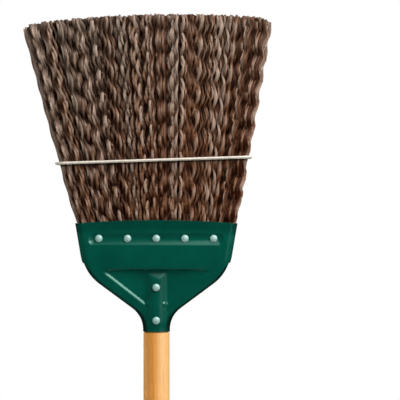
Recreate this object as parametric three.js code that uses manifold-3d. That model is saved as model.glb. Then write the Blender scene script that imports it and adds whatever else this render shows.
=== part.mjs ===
// Steel-capped track broom: a flared head of crimped fibre in a riveted sheet-steel cap, a wooden
// handle, and a steel chisel on the handle's far end.
// Millimetres, +Z up with the bristles at the top, the front of the head facing -Y.
// The origin is on the handle's axis, halfway along its bare length.

import * as THREE from "three";
import { mergeGeometries, mergeVertices } from "three/addons/utils/BufferGeometryUtils.js";
import Module from "manifold-3d";

// Fits
const FIT_GAP = 0.3; // between pieces that touch on the real broom
const CUT_EXTRA = 6; // how far a cutting solid reaches past what it cuts
const MERGE_DISTANCE = 1e-4; // points nearer than this are one
const LEAST_STRAIGHT = 0.1; // left between two rounded corners

// Wooden handle
const HANDLE_DIAMETER = 28.6;
const BARE_LENGTH = 903; // between the cap's mouth and the socket's rim
const TENON_STEP = 1; // how far the end inside the cap is turned down
const TAPER_LENGTH = 98; // coned end inside the chisel's socket
const HANDLE_CHAMFER = 1.2;

// Sheet-steel cap, seen from the front. Heights are above its mouth, where the handle enters.
const SHEET = 1.2;
const NECK_CORNER_HEIGHT = 17; // where the neck's side would meet the funnel's edge
const NECK_ROUND = 15.5; // how far from that corner the rounding starts
const SHOULDER_WIDTH = 156.4; // between the corners where the funnel's edges would meet the sides
const SHOULDER_HEIGHT = 64.2;
const SHOULDER_ROUND = 20;
const SIDE_HEIGHT = 58.2; // from those corners to the middle of the rim
const RIM_WIDTH = 175;
const RIM_RISE = 3.6; // the rim is an arc, higher in the middle
const CAP_DEPTH = 35; // front face to back face
const EDGE_RADIUS = 7; // where the faces turn into the sides
const SEAM_LAP_START = 12; // above the shoulder corner
const SEAM_LAP_REACH = 9; // each way from the seam between the two halves

// Pressed shapes in both faces of the cap
const PRESS_DRAFT = 0.5; // run of a pressed wall for each unit of its depth
const RECESS_RIM = 10.5; // raised border between the recess and the funnel's edge
const RECESS_RISE = 4.3; // top of the recess above the shoulder corner
const RECESS_DEPTH = 7.5;
const RECESS_CORNER = 4;
const LEAST_CORNER = 0.5; // of a pressed shape, at its floor
const GROOVE_DEPTH = 2.5; // clamping groove that the rivets stand in
const GROOVE_MARGIN = 3.1; // above and below the rivet heads
const GROOVE_END = 12.6; // past the middle of the last rivet

// Rivets
const RIVET_SHANK = 5;
const RIVET_HEAD = 8.2;
const RIVET_HEAD_HEIGHT = 2.6;
const RIVET_TAIL = 7.4; // peened end, at the back
const RIVET_TAIL_HEIGHT = 1.6;
const FILL_RIVETS = 5;
const FILL_RIVET_DROP = 20.1; // below the middle of the rim
const FILL_RIVET_INSET = 21.9; // last rivet from the cap's side
const LOWER_RIVET_HEIGHT = 12.8; // handle rivet in the cap's neck
const UPPER_RIVET_DROP = 18.3; // handle rivet below the end of the wood

// Fibre fill
const FILL_LENGTH = 225.6; // from the middle of the rim to the longest tips
const FAN_WIDTH = 274; // across the tips
const FAN_DEPTH = 58;
const FAN_LEAN = -10; // the tips stand to the left of the handle's axis
const FAN_SPLAY = 2; // the outer strands bow out sideways by this on their way up
const FAN_ROUND = 0.06; // share by which the fill's four corners are drawn in
const TIP_PEAK = 25; // the tips are cut to an arc that is highest here
const TIP_ARC_RADIUS = 1000;
const STRAND_WIDTH = 2.6;
const STRAND_GAP = 1.6;
const CRIMP = 1.5; // how far a crimp stands to the side
const COLUMN_PHASE = 0.4; // turn of the crimp from one column of strands to the next, in radians
const ROW_PHASE = 0.3; // and from one row to the next
const ROOTS_DROP = 1; // the packed roots end this far below the rim's corners
const STRAND_ROOT = 2; // length sunk in the packed roots
const STRAND_INSET = 1.2; // outer strands stand in from the packed roots' edge, to lean out past the rim

// Wire band round the fill
const WIRE_DIAMETER = 3;
const BAND_HEIGHT = 65.6; // above the middle of the rim
const BAND_TILT = 0.033; // rise for each unit to the right
const BAND_BEND = 9; // bend radius at the four corners

// Chisel
const SOCKET_PROUD = 0.3; // rim over the handle's surface
const SOCKET_WALL = 1.5;
const SOCKET_NOSE_LENGTH = 10; // solid end past the wood
const SOCKET_NOSE_DIAMETER = 20.5;
const SOCKET_DOME = 5; // rounded shoulder round the blade
const SOCKET_BAND_HEIGHT = 10; // swaged band at the rim
const SOCKET_BAND_PROUD = 0.3;
const BLADE_LENGTH = 88; // from the socket's nose
const BLADE_CHEEK = 1; // the nose stands out past each side of the blade
const BLADE_WAIST = 0.4; // the blade draws in by this on each side
const BLADE_WAIST_HEIGHT = 22;
const BLADE_EDGE_WIDTH = 38.1;
const BLADE_THICKNESS = 4; // at the nose
const BLADE_TIP_THICKNESS = 2.4;
const BLADE_EDGE_THICKNESS = 1.2;
const BLADE_BEVEL = 2.5;
const NAIL_SHANK = 3.4;
const NAIL_HEAD = 7;
const NAIL_HEAD_HEIGHT = 1.6;
const NAIL_LENGTH = 13; // under the head
const NAIL_HEIGHT = 22; // above the socket's rim

// Facets
const ARC_STEPS = 6; // of a quarter turn
const BEND_STEPS = 5; // of a rounded corner in an outline
const RIM_STEPS = 16;
const FLARE_STEPS = 8;
const DOME_STEPS = 3;
const ROUND_SIDES = 32;
const RIVET_SIDES = 12;
const WIRE_SIDES = 8;
const STRAND_SIDES = 3;
const STRAND_STEPS = 3;

// Worked-out sizes that several pieces share
const HANDLE_RADIUS = HANDLE_DIAMETER / 2;
const TENON_RADIUS = HANDLE_RADIUS - TENON_STEP;
const NECK_RADIUS = TENON_RADIUS + FIT_GAP + SHEET;
const CAP_HEIGHT = SHOULDER_HEIGHT + SIDE_HEIGHT;
const RIM_CORNER_HEIGHT = CAP_HEIGHT - RIM_RISE;
const SIDE_SLOPE = (RIM_WIDTH - SHOULDER_WIDTH) / 2 / (RIM_CORNER_HEIGHT - SHOULDER_HEIGHT);
const RECESS_TOP = SHOULDER_HEIGHT + RECESS_RISE;
const TENON_LENGTH = RECESS_TOP - SHEET - FIT_GAP;
const HANDLE_RIVET_HEIGHTS = [LOWER_RIVET_HEIGHT, TENON_LENGTH - UPPER_RIVET_DROP];
const FILL_RIVET_HEIGHT = CAP_HEIGHT - FILL_RIVET_DROP;
const FILL_RIVET_PITCH = (sideAt(FILL_RIVET_HEIGHT) - FILL_RIVET_INSET) * 2 / (FILL_RIVETS - 1);
const ROOTS_BOTTOM = RECESS_TOP + SHEET + FIT_GAP;
const ROOTS_TOP = RIM_CORNER_HEIGHT - ROOTS_DROP;
const STRAND_PITCH = STRAND_WIDTH + STRAND_GAP;
const SOCKET_LENGTH = TAPER_LENGTH + FIT_GAP + SOCKET_NOSE_LENGTH;
const SOCKET_RIM_RADIUS = HANDLE_RADIUS + SOCKET_PROUD;
const BLADE_ROOT_WIDTH = SOCKET_NOSE_DIAMETER - 2 * BLADE_CHEEK;

const wasm = await Module();
wasm.setup();

// Joining and cutting

// A closed geometry as a solid.
function solidOf(geometry) {
  const bare = geometry.clone();
  bare.deleteAttribute("normal");
  bare.deleteAttribute("uv");
  const merged = mergeVertices(bare, MERGE_DISTANCE);
  const vertProperties = new Float32Array(merged.attributes.position.array);
  const triVerts = new Uint32Array(merged.index.array);
  return new wasm.Manifold(new wasm.Mesh({ numProp: 3, vertProperties, triVerts }));
}

// A solid as a geometry.
function geometryOf(solid) {
  const mesh = solid.getMesh();
  const geometry = new THREE.BufferGeometry();
  geometry.setAttribute("position", new THREE.BufferAttribute(mesh.vertProperties, 3));
  geometry.setIndex(new THREE.BufferAttribute(mesh.triVerts, 1));
  geometry.computeVertexNormals();
  return geometry;
}

// A closed skin through rings of points, with flat ends, or joined end to end as a hoop.
// Each ring turns about the way that the rings run, as a right-hand screw does.
function loft(rings, hoop = false) {
  const count = rings[0].length;
  const total = rings.length * count;
  const last = total - count;
  const positions = rings.flat().flatMap((p) => [p.x, p.y, p.z]);
  const index = [];
  for (let a = 0; a < (hoop ? total : last); a++) {
    const b = (a + 1) % count ? a + 1 : a + 1 - count;
    const above = (a + count) % total;
    const beside = (b + count) % total;
    index.push(a, b, beside, a, beside, above);
  }
  for (let j = 1; j + 1 < count && !hoop; j++) {
    index.push(0, j + 1, j);
    index.push(last, last + j, last + j + 1);
  }
  const geometry = new THREE.BufferGeometry();
  geometry.setAttribute("position", new THREE.Float32BufferAttribute(positions, 3));
  geometry.setIndex(index);
  return geometry;
}

// A turned shape: [radius, height] points about the Z axis.
function turned(points, sides = ROUND_SIDES) {
  const profile = points.map(([radius, height]) => new THREE.Vector2(radius, height));
  return new THREE.LatheGeometry(profile, sides).rotateX(Math.PI / 2);
}

// A round bar along Y through (x, z), from one depth to another.
function barAlongY(radius, from, to, x, z) {
  const bar = new THREE.CylinderGeometry(radius, radius, to - from, RIVET_SIDES);
  return solidOf(bar.translate(x, (from + to) / 2, z));
}

function boxBetween(low, high) {
  const size = high.map((value, i) => value - low[i]);
  const middle = high.map((value, i) => (value + low[i]) / 2);
  return solidOf(new THREE.BoxGeometry(...size).translate(...middle));
}

function steel(color, roughness) {
  return new THREE.MeshStandardMaterial({ color, roughness, metalness: 1 });
}

const MATERIALS = {
  paint: new THREE.MeshStandardMaterial({ color: 0x0c4a3a, roughness: 0.35, metalness: 0 }),
  rivet: steel(0xc4cac8, 0.4),
  wire: steel(0xcfcabd, 0.4),
  forged: steel(0xb8b8b8, 0.35),
  wood: new THREE.MeshStandardMaterial({ color: 0xdda25a, roughness: 0.45, metalness: 0 }),
  fibre: new THREE.MeshStandardMaterial({ color: 0x5a4234, roughness: 0.6, metalness: 0 }),
};

function mesh(name, solidOrGeometry, material) {
  const geometry = solidOrGeometry.isBufferGeometry ? solidOrGeometry : geometryOf(solidOrGeometry);
  const made = new THREE.Mesh(geometry, material);
  made.name = name;
  return made;
}

// Cap

// Half-width of the cap's straight side at a height.
function sideAt(height) {
  return SHOULDER_WIDTH / 2 + (height - SHOULDER_HEIGHT) * SIDE_SLOPE;
}

// The right edge of the cap in the front view, from the mouth to past the rim.
// Points are (half-width, height).
function capEdge() {
  const mouth = new THREE.Vector2(NECK_RADIUS, 0);
  const neck = new THREE.Vector2(NECK_RADIUS, NECK_CORNER_HEIGHT);
  const shoulder = new THREE.Vector2(SHOULDER_WIDTH / 2, SHOULDER_HEIGHT);
  const top = CAP_HEIGHT + CUT_EXTRA;
  const end = new THREE.Vector2(sideAt(top), top);
  const towards = (from, to, length) => from.clone().add(to.clone().sub(from).setLength(length));
  const edge = new THREE.CurvePath();
  const stops = [
    mouth,
    towards(neck, mouth, NECK_ROUND),
    towards(neck, shoulder, NECK_ROUND),
    towards(shoulder, neck, SHOULDER_ROUND),
    towards(shoulder, end, SHOULDER_ROUND),
    end,
  ];
  edge.add(new THREE.LineCurve(stops[0], stops[1]));
  edge.add(new THREE.QuadraticBezierCurve(stops[1], neck, stops[2]));
  edge.add(new THREE.LineCurve(stops[2], stops[3]));
  edge.add(new THREE.QuadraticBezierCurve(stops[3], shoulder, stops[4]));
  edge.add(new THREE.LineCurve(stops[4], stops[5]));
  return edge;
}

// The share of the way from the round neck (0) to the flat fill pocket (1).
function pocketShare(height) {
  return THREE.MathUtils.smoothstep(height, NECK_CORNER_HEIGHT - NECK_ROUND, SHOULDER_HEIGHT / 2);
}

function halfDepth(height) {
  return THREE.MathUtils.lerp(NECK_RADIUS, CAP_DEPTH / 2, pocketShare(height));
}

// A rounded rectangle at a height, from its half-width, half-depth and corner radius.
function sectionRing(halfWidth, depth, radius, height) {
  const r = Math.min(radius, halfWidth - LEAST_STRAIGHT, depth - LEAST_STRAIGHT);
  const ring = [];
  for (let corner = 0; corner < 4; corner++) {
    const x = (corner === 0 || corner === 3 ? 1 : -1) * (halfWidth - r);
    const y = (corner < 2 ? 1 : -1) * (depth - r);
    for (let step = 0; step <= ARC_STEPS; step++) {
      const angle = (corner + step / ARC_STEPS) * Math.PI / 2;
      ring.push(new THREE.Vector3(x + r * Math.cos(angle), y + r * Math.sin(angle), height));
    }
  }
  return ring;
}

// The cap's plain form, before pressing, with its skin moved inwards by inset.
function paddle(inset) {
  const rings = [];
  for (const curve of capEdge().curves) {
    const steps = curve.isLineCurve ? 1 : BEND_STEPS;
    for (let i = rings.length ? 1 : 0; i <= steps; i++) {
      const point = curve.getPoint(i / steps);
      const tangent = curve.getTangent(i / steps);
      const halfWidth = point.x - tangent.y * inset;
      const height = point.y + tangent.x * inset;
      const radius = THREE.MathUtils.lerp(NECK_RADIUS, EDGE_RADIUS, pocketShare(point.y)) - inset;
      rings.push(sectionRing(halfWidth, halfDepth(point.y) - inset, radius, height));
    }
  }
  if (inset > 0) {
    rings.unshift(rings[0].map((p) => p.clone().setZ(-CUT_EXTRA)));
  }
  return solidOf(loft(rings));
}

// A convex polygon with every side moved outwards by distance. Its points run anticlockwise.
function grown(points, distance) {
  const normal = (a, b) => new THREE.Vector2(b.y - a.y, a.x - b.x).normalize();
  return points.map((point, i) => {
    const before = normal(points.at(i - 1), point);
    const after = normal(point, points[(i + 1) % points.length]);
    const reach = distance / (1 + before.dot(after));
    return point.clone().addScaledVector(before.add(after), reach);
  });
}

// A convex polygon with its corners rounded.
function rounded(points, radius) {
  const ring = [];
  points.forEach((corner, i) => {
    const back = points.at(i - 1).clone().sub(corner).normalize();
    const ahead = points[(i + 1) % points.length].clone().sub(corner).normalize();
    const half = Math.acos(back.dot(ahead)) / 2;
    const inwards = back.clone().add(ahead).normalize();
    const centre = corner.clone().addScaledVector(inwards, radius / Math.sin(half));
    const start = corner.clone().addScaledVector(back, radius / Math.tan(half)).sub(centre).angle();
    for (let step = 0; step <= BEND_STEPS; step++) {
      const angle = start + (Math.PI - 2 * half) * step / BEND_STEPS;
      ring.push(new THREE.Vector2(Math.cos(angle), Math.sin(angle)).multiplyScalar(radius).add(centre));
    }
  });
  return ring;
}

// The space that a press tool takes out of both faces, for an outline drawn on the front face.
// With an inset it is larger all round, for the inside of the sheet.
function pressTool(outline, cornerRadius, depth, inset) {
  const wall = inset * Math.hypot(1, PRESS_DRAFT);
  const rings = [depth + inset, -CUT_EXTRA].map((below) => {
    const growth = wall - below * PRESS_DRAFT;
    const corner = Math.max(cornerRadius + growth, LEAST_CORNER);
    const ring = rounded(grown(outline, growth), corner);
    return ring.map((p) => new THREE.Vector3(p.x, below - CAP_DEPTH / 2, p.y));
  });
  const front = loft(rings);
  const back = front.clone().rotateZ(Math.PI);
  return solidOf(front).add(solidOf(back));
}

// The recess follows the funnel's edges, inside its raised border.
function recessTool(inset) {
  const rise = (SHOULDER_HEIGHT - NECK_CORNER_HEIGHT) / (SHOULDER_WIDTH / 2 - NECK_RADIUS);
  const apex = NECK_CORNER_HEIGHT - NECK_RADIUS * rise + RECESS_RIM * Math.hypot(1, rise);
  const reach = (RECESS_TOP - apex) / rise;
  const outline = [
    new THREE.Vector2(0, apex),
    new THREE.Vector2(reach, RECESS_TOP),
    new THREE.Vector2(-reach, RECESS_TOP),
  ];
  return pressTool(outline, RECESS_CORNER, RECESS_DEPTH, inset);
}

function grooveTool(inset) {
  const x = FILL_RIVET_PITCH * (FILL_RIVETS - 1) / 2 + GROOVE_END;
  const half = RIVET_HEAD / 2 + GROOVE_MARGIN;
  const low = FILL_RIVET_HEIGHT - half;
  const high = FILL_RIVET_HEIGHT + half;
  const outline = [[-x, low], [x, low], [x, high], [-x, high]].map(([a, b]) => new THREE.Vector2(a, b));
  return pressTool(outline, half - LEAST_STRAIGHT, GROOVE_DEPTH, inset);
}

// The cap's skin moved inwards by inset, pressed, with the half-round socket that takes the handle.
function capForm(inset) {
  const from = inset > 0 ? -CUT_EXTRA : 0;
  const to = inset > 0 ? TENON_LENGTH + FIT_GAP : RECESS_TOP + SHEET;
  const radius = NECK_RADIUS - inset;
  const socket = solidOf(turned([[0, from], [radius, from], [radius, to], [0, to]]));
  return paddle(inset).subtract(recessTool(inset)).subtract(grooveTool(inset)).add(socket);
}

// Everything under the arc of the rim.
function underRim() {
  const half = RIM_WIDTH / 2;
  const radius = (half * half + RIM_RISE * RIM_RISE) / (2 * RIM_RISE);
  const reach = half + 2 * CUT_EXTRA;
  const angle = Math.asin(reach / radius);
  const shape = new THREE.Shape();
  shape.moveTo(-reach, -CUT_EXTRA);
  shape.lineTo(reach, -CUT_EXTRA);
  shape.absarc(0, CAP_HEIGHT - radius, radius, Math.PI / 2 - angle, Math.PI / 2 + angle);
  const depth = CAP_DEPTH + 4 * CUT_EXTRA;
  const block = new THREE.ExtrudeGeometry(shape, { depth, bevelEnabled: false, curveSegments: RIM_STEPS });
  return solidOf(block.rotateX(Math.PI / 2).translate(0, depth / 2, 0));
}

// A strip of the front half that laps over the back half, outside the seam on one side.
function seamLap(side) {
  const low = SHOULDER_HEIGHT + SEAM_LAP_START;
  const high = RIM_CORNER_HEIGHT - 2 * SHEET;
  const inner = sideAt(low) + FIT_GAP;
  const outer = inner + SHEET;
  const joined = inner - 2 * FIT_GAP;
  const points = [
    [joined, -SEAM_LAP_REACH],
    [outer, -SEAM_LAP_REACH],
    [outer, SEAM_LAP_REACH],
    [inner, SEAM_LAP_REACH],
    [inner, -SHEET],
    [joined, -SHEET],
  ];
  const shape = new THREE.Shape(points.map(([x, y]) => new THREE.Vector2(side * x, y)));
  const strip = new THREE.ExtrudeGeometry(shape, { depth: high - low, bevelEnabled: false });
  const lean = new THREE.Matrix4().makeShear(0, 0, 0, 0, side * SIDE_SLOPE, 0);
  return solidOf(strip.applyMatrix4(lean).translate(0, 0, low));
}

function fillRivetPlaces() {
  const first = -FILL_RIVET_PITCH * (FILL_RIVETS - 1) / 2;
  return Array.from({ length: FILL_RIVETS }, (_, i) => first + i * FILL_RIVET_PITCH);
}

// Holes for all the rivets, right through the head.
function rivetHoles() {
  const radius = RIVET_SHANK / 2 + FIT_GAP;
  const reach = CAP_DEPTH;
  const places = fillRivetPlaces().map((x) => [x, FILL_RIVET_HEIGHT]);
  places.push(...HANDLE_RIVET_HEIGHTS.map((height) => [0, height]));
  return places.map(([x, z]) => barAlongY(radius, -reach, reach, x, z)).reduce((all, bar) => all.add(bar));
}

function capHalves() {
  const skin = capForm(0).subtract(capForm(SHEET)).intersect(underRim()).subtract(rivetHoles());
  const reach = RIM_WIDTH;
  const top = CAP_HEIGHT + CUT_EXTRA;
  const frontSpace = boxBetween([-reach, -reach, -1], [reach, -FIT_GAP / 2, top]);
  const backSpace = boxBetween([-reach, FIT_GAP / 2, -1], [reach, reach, top]);
  const front = skin.intersect(frontSpace).add(seamLap(1)).add(seamLap(-1));
  const back = skin.intersect(backSpace);
  return [mesh("cap_front", front, MATERIALS.paint), mesh("cap_back", back, MATERIALS.paint)];
}

// Rivets

// A quarter round from a rim of that radius up to the axis, as [radius, height] points.
function domePoints(radius, base, height) {
  return Array.from({ length: DOME_STEPS + 1 }, (_, i) => {
    const angle = i / DOME_STEPS * Math.PI / 2;
    return [i === DOME_STEPS ? 0 : radius * Math.cos(angle), base + height * Math.sin(angle)];
  });
}

// A rivet along Y through (x, z), its domed head in front and its peened tail behind.
function rivet(name, seat, x, z) {
  const shank = RIVET_SHANK / 2;
  const head = domePoints(RIVET_HEAD / 2, seat, RIVET_HEAD_HEIGHT).map(([r, y]) => [r, -y]).reverse();
  const tail = domePoints(RIVET_TAIL / 2, seat, RIVET_TAIL_HEIGHT);
  const profile = [...head, [shank, -seat], [shank, seat], ...tail];
  const shape = new THREE.LatheGeometry(profile.map(([r, y]) => new THREE.Vector2(r, y)), RIVET_SIDES);
  const made = mesh(name, shape, MATERIALS.rivet);
  made.position.set(x, 0, z);
  return made;
}

function rivets() {
  const grooveSeat = CAP_DEPTH / 2 - GROOVE_DEPTH + FIT_GAP;
  const fill = fillRivetPlaces().map((x, i) => {
    return rivet(`fill_rivet_${i + 1}`, grooveSeat, x, FILL_RIVET_HEIGHT);
  });
  const handle = HANDLE_RIVET_HEIGHTS.map((height, i) => {
    const inNeck = height < NECK_CORNER_HEIGHT + NECK_ROUND / 2;
    const neckDepth = Math.max(NECK_RADIUS, halfDepth(height + RIVET_HEAD / 2));
    const seat = (inNeck ? neckDepth : NECK_RADIUS) + FIT_GAP;
    return rivet(`handle_rivet_${i + 1}`, seat, 0, height);
  });
  return [...fill, ...handle];
}

// Fibre fill

// Root and tip of the strand at a share of the fill's width and depth, each from -1 to 1,
// and how far it bows out sideways between them.
function strandLine(column, row) {
  const drawn = 1 - FAN_ROUND * row ** 2 * column ** 4;
  const across = column * drawn;
  const through = row * drawn;
  const half = STRAND_WIDTH / 2;
  const inset = SHEET + FIT_GAP + STRAND_INSET + half;
  const rootX = across * (sideAt(ROOTS_TOP) - inset);
  const root = new THREE.Vector3(rootX, through * (CAP_DEPTH / 2 - inset), ROOTS_TOP);
  const tipX = FAN_LEAN + across * (FAN_WIDTH / 2 - half);
  const height = CAP_HEIGHT + FILL_LENGTH - (tipX - TIP_PEAK) ** 2 / (2 * TIP_ARC_RADIUS);
  const tip = new THREE.Vector3(tipX, through * (FAN_DEPTH / 2 - half), height);
  return { root, tip, bow: across * FAN_SPLAY };
}

// Where that strand's middle line is at a height. Its bow is widest a quarter of the way up.
function strandAt(column, row, height) {
  const { root, tip, bow } = strandLine(column, row);
  const share = (height - root.z) / (tip.z - root.z);
  const middle = root.clone().lerp(tip, share);
  middle.x += bow * Math.sin(Math.PI * Math.sqrt(Math.max(share, 0)));
  return middle;
}

// One crimped strand. Neighbours bend almost alike, so none cross.
function strand(column, row, phase) {
  const { root, tip } = strandLine(column, row);
  const start = root.z - STRAND_ROOT;
  const rings = [];
  for (let step = 0; step <= STRAND_STEPS; step++) {
    const middle = strandAt(column, row, THREE.MathUtils.lerp(start, tip.z, step / STRAND_STEPS));
    const bent = step > 0 && step < STRAND_STEPS ? CRIMP : 0;
    middle.x += bent * Math.sin(phase + step * Math.PI);
    middle.y += bent * Math.cos(phase + step * Math.PI) / 2;
    const ring = Array.from({ length: STRAND_SIDES }, (_, side) => {
      const angle = phase + side / STRAND_SIDES * 2 * Math.PI;
      const out = new THREE.Vector3(Math.cos(angle), Math.sin(angle), 0);
      return middle.clone().addScaledVector(out, STRAND_WIDTH / 2);
    });
    rings.push(ring);
  }
  return loft(rings);
}

// The fill in bundles between the inner rivets, each a block of packed roots with its strands.
function bristles() {
  const packed = capForm(SHEET + FIT_GAP).subtract(rivetHoles());
  const widest = sideAt(ROOTS_TOP) - SHEET - FIT_GAP;
  const stops = [-widest, ...fillRivetPlaces().slice(1, -1), widest];
  const rows = Math.round((CAP_DEPTH - 2 * SHEET) / STRAND_PITCH);
  const depth = CAP_DEPTH;
  let columnsSoFar = 0;
  return stops.slice(1).map((right, i) => {
    const left = stops[i];
    const block = boxBetween(
      [left + FIT_GAP / 2, -depth, ROOTS_BOTTOM],
      [right - FIT_GAP / 2, depth, ROOTS_TOP],
    );
    const columns = Math.round((right - left) / STRAND_PITCH);
    const strands = [];
    for (let c = 0; c < columns; c++) {
      const column = (left + (right - left) * (c + 0.5) / columns) / (widest - STRAND_PITCH / 2);
      for (let r = 0; r < rows; r++) {
        const row = 2 * r / (rows - 1) - 1;
        strands.push(strand(column, row, COLUMN_PHASE * (columnsSoFar + c) + ROW_PHASE * r));
      }
    }
    columnsSoFar += columns;
    const bundle = packed.intersect(block).add(solidOf(mergeGeometries(strands)));
    return mesh(`bristle_bundle_${i + 1}`, bundle, MATERIALS.fibre);
  });
}

// Wire band

// A closed hoop of round wire, lying against the fill's outer strands.
function wireBand() {
  const middle = CAP_HEIGHT + BAND_HEIGHT;
  const clear = STRAND_WIDTH / 2 + CRIMP + FIT_GAP + WIRE_DIAMETER / 2;
  const edgeAt = (side) => {
    const about = strandAt(side, 0, middle).x;
    return strandAt(side, 0, middle + about * BAND_TILT).x + side * clear;
  };
  const left = edgeAt(-1);
  const right = edgeAt(1);
  const reach = Math.max(...[-1, 0, 1].map((column) => strandAt(column, 1, middle).y)) + clear;
  const path = sectionRing((right - left) / 2, reach, BAND_BEND, 0).map((p) => {
    const x = p.x + (left + right) / 2;
    return new THREE.Vector3(x, p.y, middle + x * BAND_TILT);
  });
  const up = new THREE.Vector3(-BAND_TILT, 0, 1).normalize();
  const rings = path.map((centre, i) => {
    const along = path[(i + 1) % path.length].clone().sub(path.at(i - 1)).normalize();
    const out = along.clone().cross(up);
    return Array.from({ length: WIRE_SIDES }, (_, side) => {
      const angle = side / WIRE_SIDES * 2 * Math.PI;
      const spoke = up.clone().multiplyScalar(Math.cos(angle)).addScaledVector(out, Math.sin(angle));
      return centre.clone().addScaledVector(spoke, WIRE_DIAMETER / 2);
    });
  });
  return mesh("wire_band", loft(rings, true), MATERIALS.wire);
}

// Chisel: heights run from the socket's rim towards the blade's edge.

function socketRadius(height) {
  const share = height / (SOCKET_LENGTH - SOCKET_DOME);
  return THREE.MathUtils.lerp(SOCKET_RIM_RADIUS, SOCKET_NOSE_DIAMETER / 2, share);
}

function boreRadius(height) {
  return socketRadius(height) - SOCKET_WALL;
}

// The slot in the nose that holds the blade's tang.
function tangSlot() {
  const x = BLADE_ROOT_WIDTH / 2 + FIT_GAP;
  const y = BLADE_THICKNESS / 2 + FIT_GAP;
  return boxBetween([-x, -y, TAPER_LENGTH], [x, y, SOCKET_LENGTH + CUT_EXTRA]);
}

function chiselSocket() {
  const boreEnd = TAPER_LENGTH + FIT_GAP;
  const shoulder = SOCKET_LENGTH - SOCKET_DOME;
  const band = SOCKET_BAND_HEIGHT;
  const body = turned([
    [0, boreEnd],
    [boreRadius(boreEnd), boreEnd],
    [boreRadius(0), 0],
    [SOCKET_RIM_RADIUS + SOCKET_BAND_PROUD, 0],
    [socketRadius(band) + SOCKET_BAND_PROUD, band],
    [socketRadius(band + SOCKET_BAND_PROUD), band + SOCKET_BAND_PROUD],
    ...domePoints(SOCKET_NOSE_DIAMETER / 2, shoulder, SOCKET_DOME),
  ]);
  const nailHole = barAlongY(NAIL_SHANK / 2 + FIT_GAP, -HANDLE_DIAMETER, 0, 0, NAIL_HEIGHT);
  return mesh("chisel_socket", solidOf(body).subtract(tangSlot()).subtract(nailHole), MATERIALS.forged);
}

// The blade's half-width from its tang to its edge, as (half-width, height) points.
function bladeEdge() {
  const tang = TAPER_LENGTH + 2 * FIT_GAP;
  const root = BLADE_ROOT_WIDTH / 2;
  const waist = root - BLADE_WAIST;
  const waistHeight = SOCKET_LENGTH + BLADE_WAIST_HEIGHT;
  const edgeHeight = SOCKET_LENGTH + BLADE_LENGTH;
  const pull = new THREE.Vector2(waist, (waistHeight + edgeHeight) / 2);
  const start = new THREE.Vector2(waist, waistHeight);
  const end = new THREE.Vector2(BLADE_EDGE_WIDTH / 2, edgeHeight);
  const flare = new THREE.QuadraticBezierCurve(start, pull, end).getPoints(FLARE_STEPS);
  return [new THREE.Vector2(root, tang), new THREE.Vector2(root, SOCKET_LENGTH), ...flare];
}

function bladeThickness(height) {
  const share = THREE.MathUtils.clamp((height - SOCKET_LENGTH) / (BLADE_LENGTH - BLADE_BEVEL), 0, 1);
  return THREE.MathUtils.lerp(BLADE_THICKNESS, BLADE_TIP_THICKNESS, share);
}

function chiselBlade() {
  const slice = (halfWidth, thickness, height) => [
    new THREE.Vector3(-halfWidth, -thickness / 2, height),
    new THREE.Vector3(halfWidth, -thickness / 2, height),
    new THREE.Vector3(halfWidth, thickness / 2, height),
    new THREE.Vector3(-halfWidth, thickness / 2, height),
  ];
  const outline = bladeEdge();
  const end = outline.pop();
  const rings = outline.map((p) => slice(p.x, bladeThickness(p.y), p.y));
  const before = outline.at(-1);
  const share = 1 - BLADE_BEVEL / (end.y - before.y);
  const heel = before.clone().lerp(end, share);
  rings.push(slice(heel.x, BLADE_TIP_THICKNESS, heel.y));
  rings.push(slice(end.x, BLADE_EDGE_THICKNESS, end.y));
  return mesh("chisel_blade", loft(rings), MATERIALS.forged);
}

// A nail along Y that pins the socket to the wood, its head at the back of the broom.
function socketNail() {
  const seat = socketRadius(NAIL_HEIGHT) + FIT_GAP;
  const shank = NAIL_SHANK / 2;
  const head = domePoints(NAIL_HEAD / 2, seat, NAIL_HEAD_HEIGHT).map(([r, y]) => [r, -y]).reverse();
  const point = NAIL_LENGTH - seat;
  const profile = [...head, [shank, -seat], [shank, point - shank], [0, point]];
  const shape = new THREE.LatheGeometry(profile.map(([r, y]) => new THREE.Vector2(r, y)), RIVET_SIDES);
  const made = mesh("socket_nail", shape, MATERIALS.rivet);
  made.position.z = NAIL_HEIGHT;
  return made;
}

// Handle

function handle() {
  const mouth = BARE_LENGTH / 2;
  const rim = -BARE_LENGTH / 2;
  const taper = (height) => boreRadius(height) - FIT_GAP;
  const shape = turned([
    [0, rim - TAPER_LENGTH],
    [taper(TAPER_LENGTH), rim - TAPER_LENGTH],
    [taper(0), rim],
    [taper(0), rim + FIT_GAP],
    [HANDLE_RADIUS, rim + FIT_GAP],
    [HANDLE_RADIUS, mouth - FIT_GAP],
    [TENON_RADIUS, mouth - FIT_GAP],
    [TENON_RADIUS, mouth + TENON_LENGTH - HANDLE_CHAMFER],
    [TENON_RADIUS - HANDLE_CHAMFER, mouth + TENON_LENGTH],
    [0, mouth + TENON_LENGTH],
  ]);
  let wood = solidOf(shape);
  for (const height of HANDLE_RIVET_HEIGHTS) {
    const reach = HANDLE_DIAMETER;
    wood = wood.subtract(barAlongY(RIVET_SHANK / 2 + FIT_GAP, -reach, reach, 0, mouth + height));
  }
  const nailEnd = socketRadius(NAIL_HEIGHT) - NAIL_LENGTH;
  wood = wood.subtract(barAlongY(NAIL_SHANK / 2 + FIT_GAP, nailEnd, HANDLE_DIAMETER, 0, rim - NAIL_HEIGHT));
  return mesh("handle", wood, MATERIALS.wood);
}

// Assembly

const head = new THREE.Group();
head.position.z = BARE_LENGTH / 2;
head.add(...capHalves(), ...rivets(), ...bristles(), wireBand());

const chisel = new THREE.Group();
chisel.position.z = -BARE_LENGTH / 2;
chisel.rotation.x = Math.PI;
chisel.add(chiselSocket(), chiselBlade(), socketNail());

const broom = new THREE.Group();
broom.add(handle(), head, chisel);

export default broom;
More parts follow.
